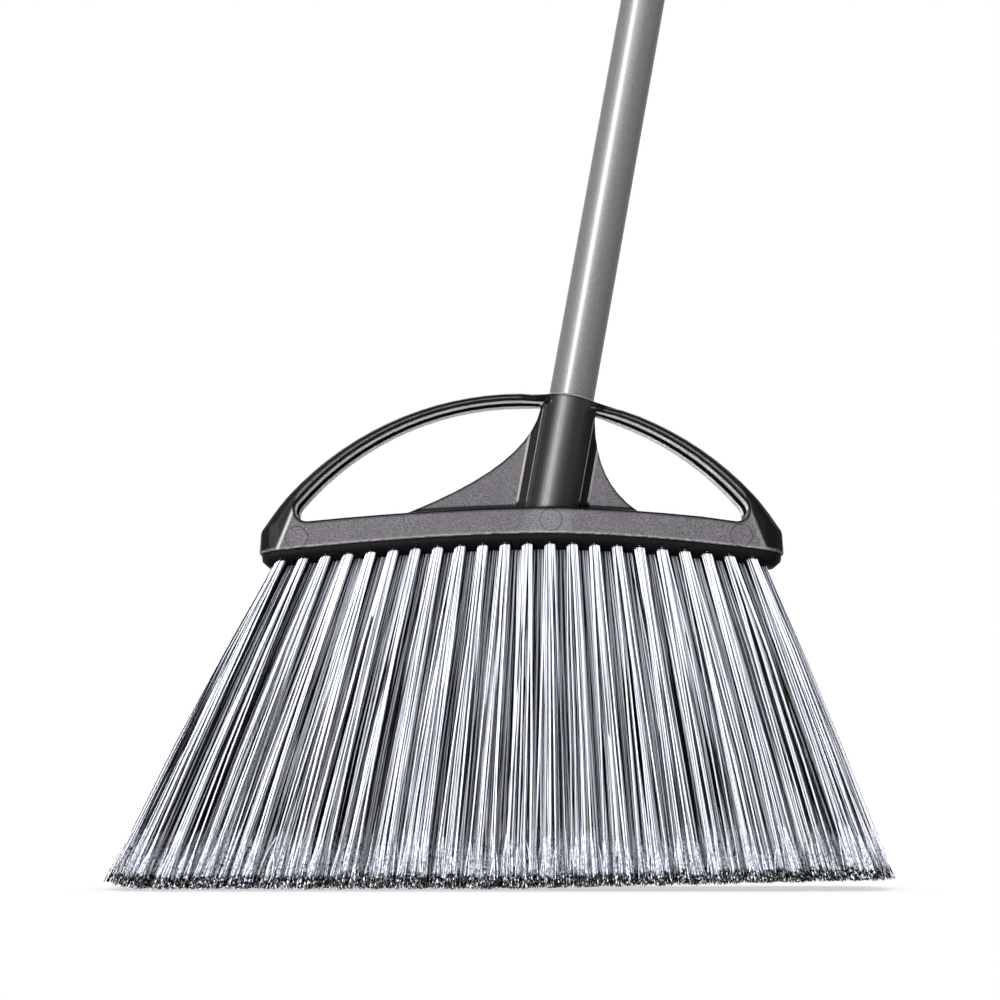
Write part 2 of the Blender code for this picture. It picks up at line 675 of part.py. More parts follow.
def main():
    clear_scene()
    grey_plastic = make_material("Charcoal moulded plastic", (0.045, 0.043, 0.044), 0.42, 0)
    silver_paint = make_material("Silver painted steel", (0.40, 0.41, 0.41), 0.32, 0.7)
    black_plastic = make_material("Black handle plastic", (0.02, 0.02, 0.02), 0.5, 0)
    grey_bristle = make_material("Grey bristle", (0.36, 0.38, 0.43), 0.4, 0)

    broom = make_empty("bar_middle", Matrix.Identity(4), None)
    handle = make_empty("handle_axis", axis_matrix(TUBE_BORE_DEPTH), broom)
    head_pieces = [make_head(grey_plastic)]
    for slice_number in range(TUFTS_IN_SHORT_ROW + 1):
        head_pieces.append(make_tuft_slice(slice_number, grey_bristle))
    for piece in head_pieces:
        piece.parent = broom
    handle_pieces = [make_tube(silver_paint), make_tip(black_plastic), make_cap(black_plastic)]
    for piece in handle_pieces:
        piece.parent = handle
    centre_over_origin(broom, head_pieces + handle_pieces)


main()
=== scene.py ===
"""Looks of the angle broom: moulded head, stapled filaments, painted handle, and the studio round them."""

import json
import math

import bpy
import numpy as np
from mathutils import Matrix, Vector

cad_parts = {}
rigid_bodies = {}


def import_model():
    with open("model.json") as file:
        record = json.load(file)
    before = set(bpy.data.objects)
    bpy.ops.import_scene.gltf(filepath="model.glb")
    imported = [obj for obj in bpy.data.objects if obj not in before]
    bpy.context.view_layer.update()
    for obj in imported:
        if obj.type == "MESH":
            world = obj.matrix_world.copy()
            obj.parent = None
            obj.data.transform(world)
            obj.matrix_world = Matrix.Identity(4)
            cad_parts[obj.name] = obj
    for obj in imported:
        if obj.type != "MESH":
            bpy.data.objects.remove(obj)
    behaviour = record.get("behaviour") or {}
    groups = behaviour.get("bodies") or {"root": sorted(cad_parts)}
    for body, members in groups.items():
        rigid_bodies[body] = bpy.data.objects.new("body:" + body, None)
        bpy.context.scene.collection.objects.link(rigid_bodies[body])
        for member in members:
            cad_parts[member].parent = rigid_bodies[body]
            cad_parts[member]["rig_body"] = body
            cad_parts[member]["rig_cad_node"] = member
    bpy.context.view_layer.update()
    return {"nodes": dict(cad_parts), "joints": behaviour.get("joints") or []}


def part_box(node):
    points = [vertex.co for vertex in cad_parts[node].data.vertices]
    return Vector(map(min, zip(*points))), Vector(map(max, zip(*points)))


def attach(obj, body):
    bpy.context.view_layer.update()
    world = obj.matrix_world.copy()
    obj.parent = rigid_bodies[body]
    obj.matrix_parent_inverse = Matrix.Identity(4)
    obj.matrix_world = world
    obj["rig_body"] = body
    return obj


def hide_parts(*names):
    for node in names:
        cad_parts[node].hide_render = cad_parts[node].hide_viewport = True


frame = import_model()

bl_info = {
    "name": "Angle Broom",
    "version": (1, 0, 0),
    "blender": (4, 5, 0),
    "location": "3D View > Sidebar > Broom",
    "description": "Dresses the angle broom's frame and lights it",
    "category": "Object",
}

HEAD_LOW, HEAD_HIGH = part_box("broom_head")
BAR_MIDDLE_X = (HEAD_LOW.x + HEAD_HIGH.x) / 2
HALF_BAR = (HEAD_HIGH.x - HEAD_LOW.x) / 2
BED_HALF_DEPTH = (HEAD_HIGH.y - HEAD_LOW.y) / 2 - 0.0006
CAMBER_POWER = 1.7
BARREL_RADIUS = 0.0126
END_LENGTH = 0.0125
ROWS = 4
LONG_ROW = 23
ROW_SHIFT = 0.0024
ROW_SHARE = 0.975
FILAMENTS = 19
TURN = next(joint for joint in frame["joints"] if joint["name"] == "handle_turn")
HANDLE_FOOT = Vector(TURN["pos_m"])
HANDLE_AXIS = Vector(TURN["axis"]).normalized()
HANDLE_FRAME = Matrix.Translation(HANDLE_FOOT) @ HANDLE_AXIS.to_track_quat("Z", "Y").to_matrix().to_4x4()


def length(name, description, default, precision=4):
    """A length for the sidebar, in metres."""
    return bpy.props.FloatProperty(name=name, description=description, default=default, unit="LENGTH",
                                   precision=precision)


def tint(name, description, default):
    """A colour for the sidebar, as linear RGB."""
    return bpy.props.FloatVectorProperty(name=name, description=description, default=default, subtype="COLOR",
                                         min=0, max=1)


class BroomSizes(bpy.types.PropertyGroup):
    """Sizes a maker would change."""

    moulding_grid: length("Moulding grid", "Cell size that the head's surface is rebuilt at", 0.0004, 5)
    crest_x: length("Camber crest", "Where the bar's underside is highest, from the bar's middle", 0.01216, 5)
    underside_z: length("Underside height", "Height of the bar's underside at its crest", 0.1674)
    end_drop: length("Camber drop", "How far the underside falls towards the bar's ends", 0.0095)
    bar_height: length("Bar height", "Height of the bar's front face", 0.0128)
    bed_depth: length("Bed depth", "How far the bristle bed crowns below the bar", 0.0065)
    tuft_pitch: length("Tuft pitch", "Spacing of the tufts in one row", 0.011)
    row_spacing: length("Row spacing", "Distance between two rows of tufts", 0.0074)
    tuft_radius: length("Tuft radius", "Radius of a tuft where it leaves the bed", 0.0029)
    end_tuft_inset: length(
        "End tuft inset", "How far the long rows' left end holes are moved in from the pitch", 0.0025)
    filament_radius: length("Filament radius", "Radius over the ribs of one filament", 0.0006, 5)
    fan_centre_x: length("Fan centre", "Where the filaments hang straight down, from the bar's middle", 0.023)
    trim_start: length("Trim start", "Where the foot's slanting trim begins, from the bar's middle", -0.010)
    trim_slope: bpy.props.FloatProperty(
        name="Trim slope", description="Rise of the trimmed foot for each metre along the bar",
        default=0.022, precision=3)
    split_length: length("Split length", "Longest stretch of a filament's end that is split", 0.026)
    tube_diameter: length("Tube diameter", "Outer diameter of the handle tube", 0.0222)
    tube_wall: length("Tube wall", "Wall of the handle tube", 0.0007, 5)
    tube_length: length("Tube length", "Length of the handle tube", 1.16)
    thread_pitch: length("Thread pitch", "Rise of the tip's thread in one turn", 0.00508, 5)


class BroomColours(bpy.types.PropertyGroup):
    """Colours a maker would change."""

    polished: tint("Polished moulding", "Socket, arch and ends of the head", (0.0045, 0.004, 0.004))
    # Painted highlights on the head's edges, ridge lines and rim, and painted reflection on its arch's lands.
    highlight_tint: tint("Burnished edges", "Rubbed edges of the head and lands under its arch", (0.53, 0.5, 0.47))
    # Flat faces: real spark grain, in a lighter tone that is painted sheen from the front lamps.
    grain_and_sheen: tint("Grained moulding", "Flat, textured faces of the head", (0.108, 0.101, 0.112))
    filament: tint("Filament", "Bristle filaments", (0.87, 0.895, 0.99))
    paint: tint("Handle paint", "Silver paint of the handle", (0.094, 0.095, 0.097))
    fittings: tint("Handle fittings", "Plastic of the tip and the hang cap", (0.012, 0.012, 0.0125))


def sizes():
    """The sizes that the sidebar shows."""
    return bpy.context.scene.broom_sizes


def colours():
    """The colours that the sidebar shows."""
    return bpy.context.scene.broom_colours


def take_only(item):
    """Make one object the selected and active one."""
    bpy.ops.object.select_all(action="DESELECT")
    item.select_set(True)
    bpy.context.view_layer.objects.active = item


def apply_modifiers(item):
    """Apply every modifier of a piece, from the first on."""
    take_only(item)
    for modifier in list(item.modifiers):
        bpy.ops.object.modifier_apply(modifier=modifier.name)


def settle(item):
    """Bring a finished piece's place into its mesh."""
    take_only(item)
    bpy.ops.object.transform_apply(location=True, rotation=True, scale=True)


def join_pieces(items, name):
    """Join some meshes into one named piece."""
    take_only(items[0])
    for item in items:
        item.select_set(True)
    bpy.ops.object.join()
    joined = bpy.context.view_layer.objects.active
    joined.name = name
    joined.data.name = name
    return joined


def dress(item, material, body, slot, *nodes):
    """Give a piece its material and the body it rides on, and hide the nodes it stands for."""
    item.data.materials.clear()
    item.data.materials.append(material)
    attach(item, body)
    if nodes:
        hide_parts(*nodes)


def new_object(name, data):
    """A new object in the scene."""
    item = bpy.data.objects.new(name, data)
    bpy.context.scene.collection.objects.link(item)
    return item


def mesh_piece(name, points, faces):
    """A new object from points and faces."""
    mesh = bpy.data.meshes.new(name)
    mesh.from_pydata(points, [], faces)
    mesh.validate()
    return new_object(name, mesh)


def merge_points(item, distance):
    """Merge a piece's doubled points and turn its faces outward."""
    take_only(item)
    bpy.ops.object.mode_set(mode="EDIT")
    bpy.ops.mesh.select_all(action="SELECT")
    bpy.ops.mesh.remove_doubles(threshold=distance)
    bpy.ops.mesh.normals_make_consistent(inside=False)
    bpy.ops.object.mode_set(mode="OBJECT")


def node_copy(node, name):
    """A merged copy of a CAD node, free to be reshaped."""
    item = frame["nodes"][node].copy()
    item.data = item.data.copy()
    item.name = name
    item.data.name = name
    item.parent = None
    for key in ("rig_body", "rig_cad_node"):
        item.pop(key, None)
    bpy.context.scene.collection.objects.link(item)
    merge_points(item, 0.00001)
    return item


def add_rounding(item, passes):
    """A modifier that rounds a piece's edges."""
    rounding = item.modifiers.new("Round", "SMOOTH")
    rounding.factor = 0.5
    rounding.iterations = passes
    return rounding


def soften(item, grid, passes):
    """Rebuild a moulding on a fine grid and round its edges, as a mould does."""
    rebuild = item.modifiers.new("Rebuild", "REMESH")
    rebuild.mode = "VOXEL"
    rebuild.voxel_size = grid
    add_rounding(item, passes)
    apply_modifiers(item)


def soften_ends(head, passes):
    """Round the bar's two ends further."""
    reach = np.abs(read_vectors(head.data, "co")[:, 0] - BAR_MIDDLE_X)
    group = head.vertex_groups.new(name="ends")
    group.add(np.flatnonzero(reach > HALF_BAR - END_LENGTH).tolist(), 1, "REPLACE")
    add_rounding(head, passes).vertex_group = group.name
    apply_modifiers(head)
    head.vertex_groups.clear()


def thin_out(item, kept_share):
    """Merge a rebuilt moulding's faces where it is flat."""
    thinning = item.modifiers.new("Thin", "DECIMATE")
    thinning.ratio = kept_share
    apply_modifiers(item)
    bpy.ops.object.shade_smooth()


def read_vectors(mesh, name):
    """All the mesh's vertex places or normals, one row each."""
    flat = np.zeros(len(mesh.vertices) * 3)
    mesh.vertices.foreach_get(name, flat)
    return flat.reshape(-1, 3)


def add_face_share(item, name, values, domain):
    """Store a number for each point or face, for its material."""
    item.data.attributes.new(name, "FLOAT", domain).data.foreach_set("value", np.asarray(values, np.float32))


# Materials

class Tree:
    """Short calls for building a node tree."""

    def __init__(self, tree):
        self.tree = tree

    def add(self, kind, **settings):
        """A new node with some of its properties set."""
        node = self.tree.nodes.new(kind)
        for key, value in settings.items():
            setattr(node, key, value)
        return node

    def put(self, value, target):
        """Give a socket a plain number, a colour or a link."""
        if isinstance(value, bpy.types.NodeSocket):
            self.tree.links.new(value, target)
        elif isinstance(value, (int, float)):
            target.default_value = value
        else:
            target.default_value = (*value, 1)

    def fill(self, inputs, values):
        """Set some of a node's inputs, by name or number."""
        for key, value in values.items():
            self.put(value, inputs[key])

    def maths(self, operation, *values):
        """Work out one number."""
        node = self.add("ShaderNodeMath", operation=operation)
        for value, target in zip(values, node.inputs):
            self.put(value, target)
        return node.outputs[0]

    def times(self, *factors):
        """Multiply some factors."""
        product = factors[0]
        for factor in factors[1:]:
            product = self.maths("MULTIPLY", product, factor)
        return product

    def rest(self, share):
        """What a share leaves of one."""
        return self.maths("SUBTRACT", 1, share)

    def parts(self, vector):
        """The X, Y and Z of a vector."""
        node = self.add("ShaderNodeSeparateXYZ")
        self.put(vector, node.inputs["Vector"])
        return node.outputs

    def ramp(self, factor, low, high, low_to=0, high_to=1, kind="SMOOTHSTEP"):
        """Map a factor's range on to another, smoothly unless said otherwise."""
        node = self.add("ShaderNodeMapRange", interpolation_type=kind)
        self.fill(node.inputs, {"Value": factor, "From Min": low, "From Max": high, "To Min": low_to,
                                "To Max": high_to})
        return node.outputs["Result"]

    def fall(self, factor, low, high):
        """1 below low and 0 above high."""
        return self.ramp(factor, low, high, 1, 0)

    def band(self, factor, low, full, fade, high):
        """1 from full to fade, and 0 below low and above high."""
        return self.times(self.ramp(factor, low, full), self.fall(factor, fade, high))

    def background_rays(self):
        """1 for the rays that show the background: the camera's, and those of gloss and glass."""
        rays = self.add("ShaderNodeLightPath").outputs
        indirect = self.maths("MAXIMUM", rays["Is Glossy Ray"], rays["Is Transmission Ray"])
        return self.maths("MAXIMUM", indirect, rays["Is Camera Ray"])

    def finish(self, kind, factor, first, second):
        """Send a mix of two shaders to the tree's output."""
        pick = self.add("ShaderNodeMixShader")
        self.fill(pick.inputs, {0: factor, 1: first.outputs[0], 2: second.outputs[0]})
        self.put(pick.outputs[0], self.add(kind).inputs["Surface"])


class Nodes(Tree):
    """Short calls for building one piece's material."""

    def __init__(self, name):
        self.material = bpy.data.materials.new(name)
        self.material.use_nodes = True
        super().__init__(self.material.node_tree)
        self.shader = self.tree.nodes["Principled BSDF"].inputs
        self.place = self.add("ShaderNodeTexCoord").outputs

    def noise(self, scale, detail=2, stretch=None):
        """A noise on the piece's own coordinates, as a factor."""
        node = self.add("ShaderNodeTexNoise")
        source = self.place["Object"]
        if stretch:
            mapping = self.add("ShaderNodeMapping")
            mapping.inputs["Scale"].default_value = stretch
            self.put(source, mapping.inputs["Vector"])
            source = mapping.outputs["Vector"]
        self.fill(node.inputs, {"Scale": scale, "Detail": detail, "Vector": source})
        return node.outputs["Fac"]

    def stored(self, name):
        """A number stored on the piece's points or faces."""
        return self.add("ShaderNodeAttribute", attribute_name=name).outputs["Fac"]

    def mix(self, factor, first, second):
        """Mix two colours."""
        node = self.add("ShaderNodeMix", data_type="RGBA")
        self.fill(node.inputs, {"Factor": factor, 6: first, 7: second})
        return node.outputs[2]

    def speckle(self, factor, low, high, colour, dark_share, light_share):
        """A colour that a noise makes darker and lighter."""
        return self.mix(self.ramp(factor, low, high), scaled(colour, dark_share), scaled(colour, light_share))

    def bump(self, height, depth):
        """Bump the surface by a height field, over a depth in metres."""
        node = self.add("ShaderNodeBump")
        self.fill(node.inputs, {"Strength": 1, "Distance": depth, "Height": height})
        self.put(node.outputs["Normal"], self.shader["Normal"])

    def surface(self, colour, roughness, specular):
        """Give the surface its colour and its gloss."""
        self.fill(self.shader, {"Base Color": colour, "Roughness": roughness, "Specular IOR Level": specular})


def scaled(colour, share):
    """A colour made darker or lighter by a share."""
    return tuple(min(part * share, 1) for part in colour)


def over_bar(nodes, point):
    """Height over the bar's cambered top."""
    s = sizes()
    crest = BAR_MIDDLE_X + s.crest_x
    sides = []
    for sign, reach in ((-1, crest - HEAD_LOW.x), (1, HEAD_HIGH.x - crest)):
        along = nodes.times(nodes.maths("SUBTRACT", point["X"], crest), sign / reach)
        sides.append(nodes.maths("MAXIMUM", along, 0))
    share = nodes.maths("POWER", nodes.maths("ADD", *sides), CAMBER_POWER)
    top = nodes.maths("SUBTRACT", s.underside_z + s.bar_height, nodes.times(share, s.end_drop))
    return nodes.maths("SUBTRACT", point["Z"], top)


def from_socket(nodes, point):
    """Distance from the socket's leaning axis, seen from the front, and height up that axis."""
    x = nodes.maths("SUBTRACT", point["X"], HANDLE_FOOT.x)
    z = nodes.maths("SUBTRACT", point["Z"], HANDLE_FOOT.z)
    across = nodes.maths("SUBTRACT", nodes.times(x, HANDLE_AXIS.z), nodes.times(z, HANDLE_AXIS.x))
    along = nodes.maths("ADD", nodes.times(x, HANDLE_AXIS.x), nodes.times(z, HANDLE_AXIS.z))
    return nodes.maths("ABSOLUTE", across), along


class Moulding(Nodes):
    """The head's plastic, as layers of colour under masks that follow its shape; some layers are painted
    light and shade.
    """

    # Where masks begin and end: metres over the bar, from its middle, from the socket's axis and up it,
    # and shares
    BAR_TOP = (0, 0.0005)
    UNDERSIDE = (-0.0137, -0.0131)
    HIGHLIGHT_EDGE_TOP = (-0.009, -0.006)
    END_START = (0.1122, 0.1136)
    END_SHIFT = 0.0004
    END_LEAN = 0.4
    END_HIGHLIGHT = (0.1106, 0.1115, 0.112, 0.1127)
    END_HIGHLIGHT_TOP = (0.009, 0.012)
    LEFT_LIT_FADE = (-0.01, 0.01, 0.75, 0.12)
    HOUSING_SIDE = (0.0164, 0.0168)
    BARREL_SIDE = (0.0125, 0.013)
    BARREL_SHEEN = (0.0075, 0.0122, 0.2, 0.02)
    SOCKET_HIGHLIGHTS = ((0.0164, 0.0167, 0.0174, 0.0178, 0.75), (0.0124, 0.0127, 0.0127, 0.0131, 0.3))
    SOCKET_HIGHLIGHT_START = (0.0036, 0.005)
    SOCKET_HIGHLIGHT_END = (0.0225, 0.0245)
    WEB_DEPTH = (0.0062, 0.007)
    MOUTH_HIGHLIGHT = (0.031, 0.0316, 0, 0.7)
    CORNER_SHADE_TOP = (0.0027, 0.0036)
    CORNER_SHADE_REACH = (0.08, 0.09)
    CORNER_SHADE_DEPTH = (0.0125, 0.0135)
    FLAT_FACING = (0.965, 0.99)
    FRONT_FACING = (0.9, 0.97)
    EDGE_RADIUS = 0.0022
    HIGHLIGHT_EDGE = (0.965, 0.995)
    DARK_EDGE = (0.98, 0.999)
    FACING_DOWN = (-0.25, -0.08)
    FACING_UP = (0.04, 0.2)
    ARCH_RANGE = (0.3, 0.8)
    LAND_EDGE = (0.04, 0.02)
    GRAIN_RANGE = (0.3, 0.7)
    CLOUD_RANGE = (0.35, 0.7, 0, 0.5)
    PATCH_RANGE = (0.3, 0.6, 0.2, 0.5)
    # Specular level: of the whole head and of the lands, and how much the ends and the dull places lose
    HEAD_SHINE = 0.08
    LAND_SHINE = 0.4
    END_LOSS = 0.7
    DULL_LOSS = 0.8

    def __init__(self, name):
        super().__init__(name)
        self.polished, self.grain_and_sheen = tuple(colours().polished), tuple(colours().grain_and_sheen)
        # The colour of the painted highlights and reflections.
        self.worn = tuple(colours().highlight_tint)
        self.grain = self.noise(2600, 1)
        self.facing = self.maths("ABSOLUTE", self.parts(self.place["Normal"])["Y"])
        point = self.parts(self.place["Object"])
        self.depth = self.maths("ABSOLUTE", point["Y"])
        self.from_middle = self.maths("SUBTRACT", point["X"], BAR_MIDDLE_X)
        self.over = over_bar(self, point)
        self.off_axis, self.up_axis = from_socket(self, point)
        above = self.ramp(self.over, *self.BAR_TOP)
        self.housing = self.times(self.fall(self.off_axis, *self.HOUSING_SIDE), above)
        self.barrel = self.fall(self.off_axis, *self.BARREL_SIDE)
        self.beneath = self.fall(self.over, *self.UNDERSIDE)
        reach = self.maths("ABSOLUTE", self.maths("ADD", self.from_middle, self.END_SHIFT))
        self.reach = self.maths("ADD", reach, self.times(self.over, self.END_LEAN))
        self.end = self.ramp(self.reach, *self.END_START)
        self.flat = self.times(self.ramp(self.facing, *self.FLAT_FACING), self.rest(self.housing),
                               self.rest(self.end))
        rounded = self.add("ShaderNodeBevel", samples=6)
        self.put(self.EDGE_RADIUS, rounded.inputs["Radius"])
        straight = self.add("ShaderNodeVectorMath", operation="DOT_PRODUCT")
        self.fill(straight.inputs, {0: rounded.outputs["Normal"], 1: self.place["Normal"]})
        self.straight = straight.outputs["Value"]
        self.turned = self.parts(rounded.outputs["Normal"])["Z"]
        facing_up = self.ramp(self.turned, *self.FACING_UP)
        self.upper = self.times(self.fall(self.straight, *self.DARK_EDGE), facing_up)

    def cover(self, mask, colour):
        """Lay a colour over what is there, where the mask is."""
        self.own = self.mix(mask, self.own, colour)

    def faces(self):
        """Polished where the head is curved; where it is flat, a spark grain with a faint cloud, in a lighter
        tone that is painted sheen.
        """
        light = self.speckle(self.grain, 0.36, 0.64, self.grain_and_sheen, 0.45, 1.45)
        light = self.mix(self.ramp(self.noise(90), *self.CLOUD_RANGE), light, scaled(self.grain_and_sheen, 0.85))
        self.own = self.speckle(self.grain, *self.GRAIN_RANGE, self.polished, 0.5, 1.7)
        # Faces that point straight front or back take the lighter colour: painted sheen over the real grain.
        self.cover(self.flat, light)

    def ridge_highlights(self):
        """Painted highlight lines where the bar's ends and the socket's housing begin, most on the left."""
        front = self.ramp(self.facing, *self.FRONT_FACING)
        low = self.fall(self.over, *self.END_HIGHLIGHT_TOP)
        # The painted highlight fades from the left, the side the lamps light.
        left = self.ramp(self.from_middle, *self.LEFT_LIT_FADE)
        self.cover(self.times(self.band(self.reach, *self.END_HIGHLIGHT), front, low, left), self.worn)
        web = self.fall(self.depth, *self.WEB_DEPTH)
        below_rim = self.fall(self.up_axis, *self.SOCKET_HIGHLIGHT_END)
        # Painted highlight lines beside the socket's housing and its barrel.
        for *line_sides, share in self.SOCKET_HIGHLIGHTS:
            line = self.band(self.off_axis, *line_sides)
            start = self.ramp(self.over, *self.SOCKET_HIGHLIGHT_START, 0, share)
            self.cover(self.times(line, web, below_rim, start), self.worn)

    def edges(self):
        """Painted highlight on lower edges, in patches, and painted shade on upper edges and the underside.
        """
        patches = self.ramp(self.noise(400), *self.PATCH_RANGE)
        facing_down = self.fall(self.turned, *self.FACING_DOWN)
        lower = self.times(self.fall(self.straight, *self.HIGHLIGHT_EDGE), facing_down,
                           self.fall(self.over, *self.HIGHLIGHT_EDGE_TOP))
        # Edges that face down take the painted highlight, broken into patches.
        self.cover(self.times(lower, self.rest(self.housing), patches), self.worn)
        # Upper edges and the bar's underside are darkened: painted shade.
        self.cover(self.maths("MAXIMUM", self.upper, self.beneath), scaled(self.polished, 0.3))

    def arch(self):
        """Painted shade along the arch's underside and its carved grooves, and painted floor reflection on
        the lands.
        """
        across = self.stored("arch_across")
        below = self.ramp(self.stored("arch_under"), *self.ARCH_RANGE)
        out, into = self.LAND_EDGE
        lands = [self.band(across, near - out, near + into, far - into, far + out)
                 for near, far in ARCH_LANDS]
        self.land = self.times(self.maths("ADD", *lands), below)
        # The arch's underside is darkened: painted shade.
        self.cover(below, scaled(self.polished, 0.3))
        # The lands between the grooves are lightened: painted reflection of the floor, over the real grain.
        self.cover(self.land, self.speckle(self.grain, *self.GRAIN_RANGE, self.worn, 1.5, 1.8))

    def corners(self):
        """Painted shade where webs and socket meet the bar, and a painted highlight round the socket's mouth.
        """
        corner = self.times(self.fall(self.over, *self.CORNER_SHADE_TOP), self.fall(self.depth, *self.CORNER_SHADE_DEPTH),
                            self.fall(self.maths("ABSOLUTE", self.from_middle), *self.CORNER_SHADE_REACH))
        # Painted shade in the corner behind the bar's top edge.
        self.cover(corner, scaled(self.polished, 0.2))
        # Painted highlight on the rim of the socket's mouth.
        self.cover(self.times(self.ramp(self.up_axis, *self.MOUTH_HIGHLIGHT), self.barrel), self.worn)

    def sheen(self):
        """Specular level: most on the barrel's front and the arch's lands, least on flanks and underside."""
        sheen = self.times(self.barrel, self.ramp(self.off_axis, *self.BARREL_SHEEN))
        shine = self.maths("ADD", sheen, self.HEAD_SHINE)
        flank = self.times(self.housing, self.rest(self.barrel))
        dull = self.times(self.end, self.END_LOSS)
        for mask in (flank, self.beneath, self.upper):
            dull = self.maths("MAXIMUM", dull, mask)
        shine = self.times(shine, self.rest(self.times(dull, self.DULL_LOSS)))
        return self.maths("ADD", shine, self.times(self.land, self.LAND_SHINE))


def moulding_material():
    """Charcoal plastic: polished curves, flat faces with a spark grain, and painted sheen, highlights, floor
    reflection and shade.
    """
    nodes = Moulding("Moulded charcoal")
    nodes.faces()
    nodes.ridge_highlights()
    nodes.edges()
    nodes.arch()
    nodes.corners()
    nodes.surface(nodes.own, nodes.ramp(nodes.flat, 0, 1, 0.4, 0.62), nodes.sheen())
    nodes.bump(nodes.grain, 0.00009)
    return nodes.material


def bed_material():
    """The head's plastic where the tufts are set: drilled, dull and dark."""
    nodes = Nodes("Drilled bed")
    grain = nodes.noise(900, 3)
    nodes.surface(nodes.speckle(grain, 0.3, 0.7, tuple(colours().fittings), 0.12, 0.5), 0.6, 0.03)
    nodes.bump(grain, 0.00005)
    return nodes.material


def filament_material():
    """Pale ribbed filaments: painted shade inside each tuft, flagged grey near the foot, dark at their cut
    ends.
    """
    nodes = Nodes("Ribbed filament")
    base = tuple(colours().filament)
    own = nodes.mix(nodes.stored("filament_shade"), scaled(base, 0.82), base)
    streak = nodes.noise(1, 3, (1100, 1100, 40))
    own = nodes.mix(nodes.ramp(streak, 0.4, 0.65), own, scaled(base, 0.84))
    # Sides that little light reaches turn near black: painted shade inside the tufts and the brush.
    own = nodes.mix(nodes.ramp(nodes.stored("outward"), 0.2, 0.42), scaled(base, 0.012), own)
    speckle = nodes.noise(750, 3)
    drift = nodes.times(nodes.maths("SUBTRACT", nodes.noise(160), 0.5), 0.05)
    along = nodes.maths("ADD", nodes.stored("toward_foot"), drift)
    flagged = nodes.speckle(speckle, 0.43, 0.51, base, 0.04, 0.9)
    own = nodes.mix(nodes.ramp(along, 0.80, 0.96, 0, 0.6), own, flagged)
    ends = nodes.speckle(speckle, 0.53, 0.60, base, 0.01, 0.95)
    nodes.surface(nodes.mix(nodes.ramp(along, 0.952, 0.966), own, ends), 0.42, 0.07)
    nodes.bump(streak, 0.00003)
    return nodes.material


def paint_material():
    """Silver powder paint on steel: metal flake under a satin skin, with a faint orange peel."""
    nodes = Nodes("Silver paint")
    flake = nodes.noise(2200)
    peel = nodes.noise(260)
    colour = nodes.speckle(flake, 0.3, 0.7, tuple(colours().paint), 0.68, 1.32)
    nodes.surface(colour, nodes.ramp(flake, 0.3, 0.7, 0.42, 0.54), 0.4)
    nodes.fill(nodes.shader, {"Coat Weight": 0.25, "Coat Roughness": 0.24})
    nodes.bump(nodes.maths("ADD", nodes.times(flake, 0.3), peel), 0.00005)
    return nodes.material


def fitting_material():
    """Black injection-moulded plastic of the tip and the hang cap."""
    nodes = Nodes("Black fitting")
    grain = nodes.noise(1300, 3)
    colour = nodes.speckle(grain, 0.3, 0.7, tuple(colours().fittings), 0.7, 1.5)
    nodes.surface(colour, nodes.ramp(grain, 0.3, 0.7, 0.42, 0.55), 0.2)
    nodes.bump(grain, 0.00004)
    return nodes.material


# Shapes that more than one piece follows

def underside_z(x):
    """Height of the bar's cambered underside at x in the world."""
    s = sizes()
    along = x - BAR_MIDDLE_X - s.crest_x
    reach = np.where(along < 0, HALF_BAR + s.crest_x, HALF_BAR - s.crest_x)
    return s.underside_z - s.end_drop * (np.abs(along) / reach) ** CAMBER_POWER


def bed_drop(y):
    """How far the crowned bed hangs below its edge at y."""
    return sizes().bed_depth * np.sqrt(1 - np.minimum(np.abs(y) / BED_HALF_DEPTH, 1) ** 4)


def tuft_rows():
    """The tufts' holes, front row first: where each is (x, y) and where its pitch puts it (x)."""
    s = sizes()
    first = BAR_MIDDLE_X - (LONG_ROW - 1) / 2 * s.tuft_pitch
    rows = []
    for row in range(ROWS):
        y = s.row_spacing * (row - (ROWS - 1) / 2)
        count, shift = (LONG_ROW, 0) if row % 2 else (LONG_ROW - 1, 0.5)
        row_of_pitch = [first + (i + shift) * s.tuft_pitch for i in range(count)]
        holes = [[BAR_MIDDLE_X - ROW_SHIFT + (x - BAR_MIDDLE_X) * ROW_SHARE, y, x] for x in row_of_pitch]
        if row % 2:
            holes[0][0] += s.end_tuft_inset
        rows.append(holes)
    return rows


def clear_of_socket(points):
    """How far points are outside the socket's barrel."""
    from_foot = points - np.array(HANDLE_FOOT)
    axis = np.array(HANDLE_AXIS)
    away = from_foot - (from_foot @ axis)[:, None] * axis
    return np.linalg.norm(away, axis=1) - BARREL_RADIUS


# The arch's two openings (x and z of the middle, half width), and what is moulded along its underside:
# grooves (near, far, depth) and lands (near, far), which stand at shares of the arch's half depth
ARCH_OPENINGS = ((-0.072, 0.2, 0.075), (0.047, 0.192, 0.055))
ARCH_GROOVES = ((-0.96, -0.76, 0.0007), (-0.30, 0.32, 0.0013), (-0.10, 0.10, 0.0004))
ARCH_LANDS = ((-0.75, -0.34), (0.36, 0.92))
GROOVE_WALL = 0.045
ARCH_OVER_BAR = 0.0037
ARCH_COLUMNS = 80
LEAST_HALF_DEPTH = 0.004


def groove(across, near, far, depth):
    """Depth of a groove whose walls stand at near and far."""
    into = np.clip((across - near) / GROOVE_WALL, 0, 1)
    out = np.clip((far - across) / GROOVE_WALL, 0, 1)
    return depth * np.minimum(into, out)


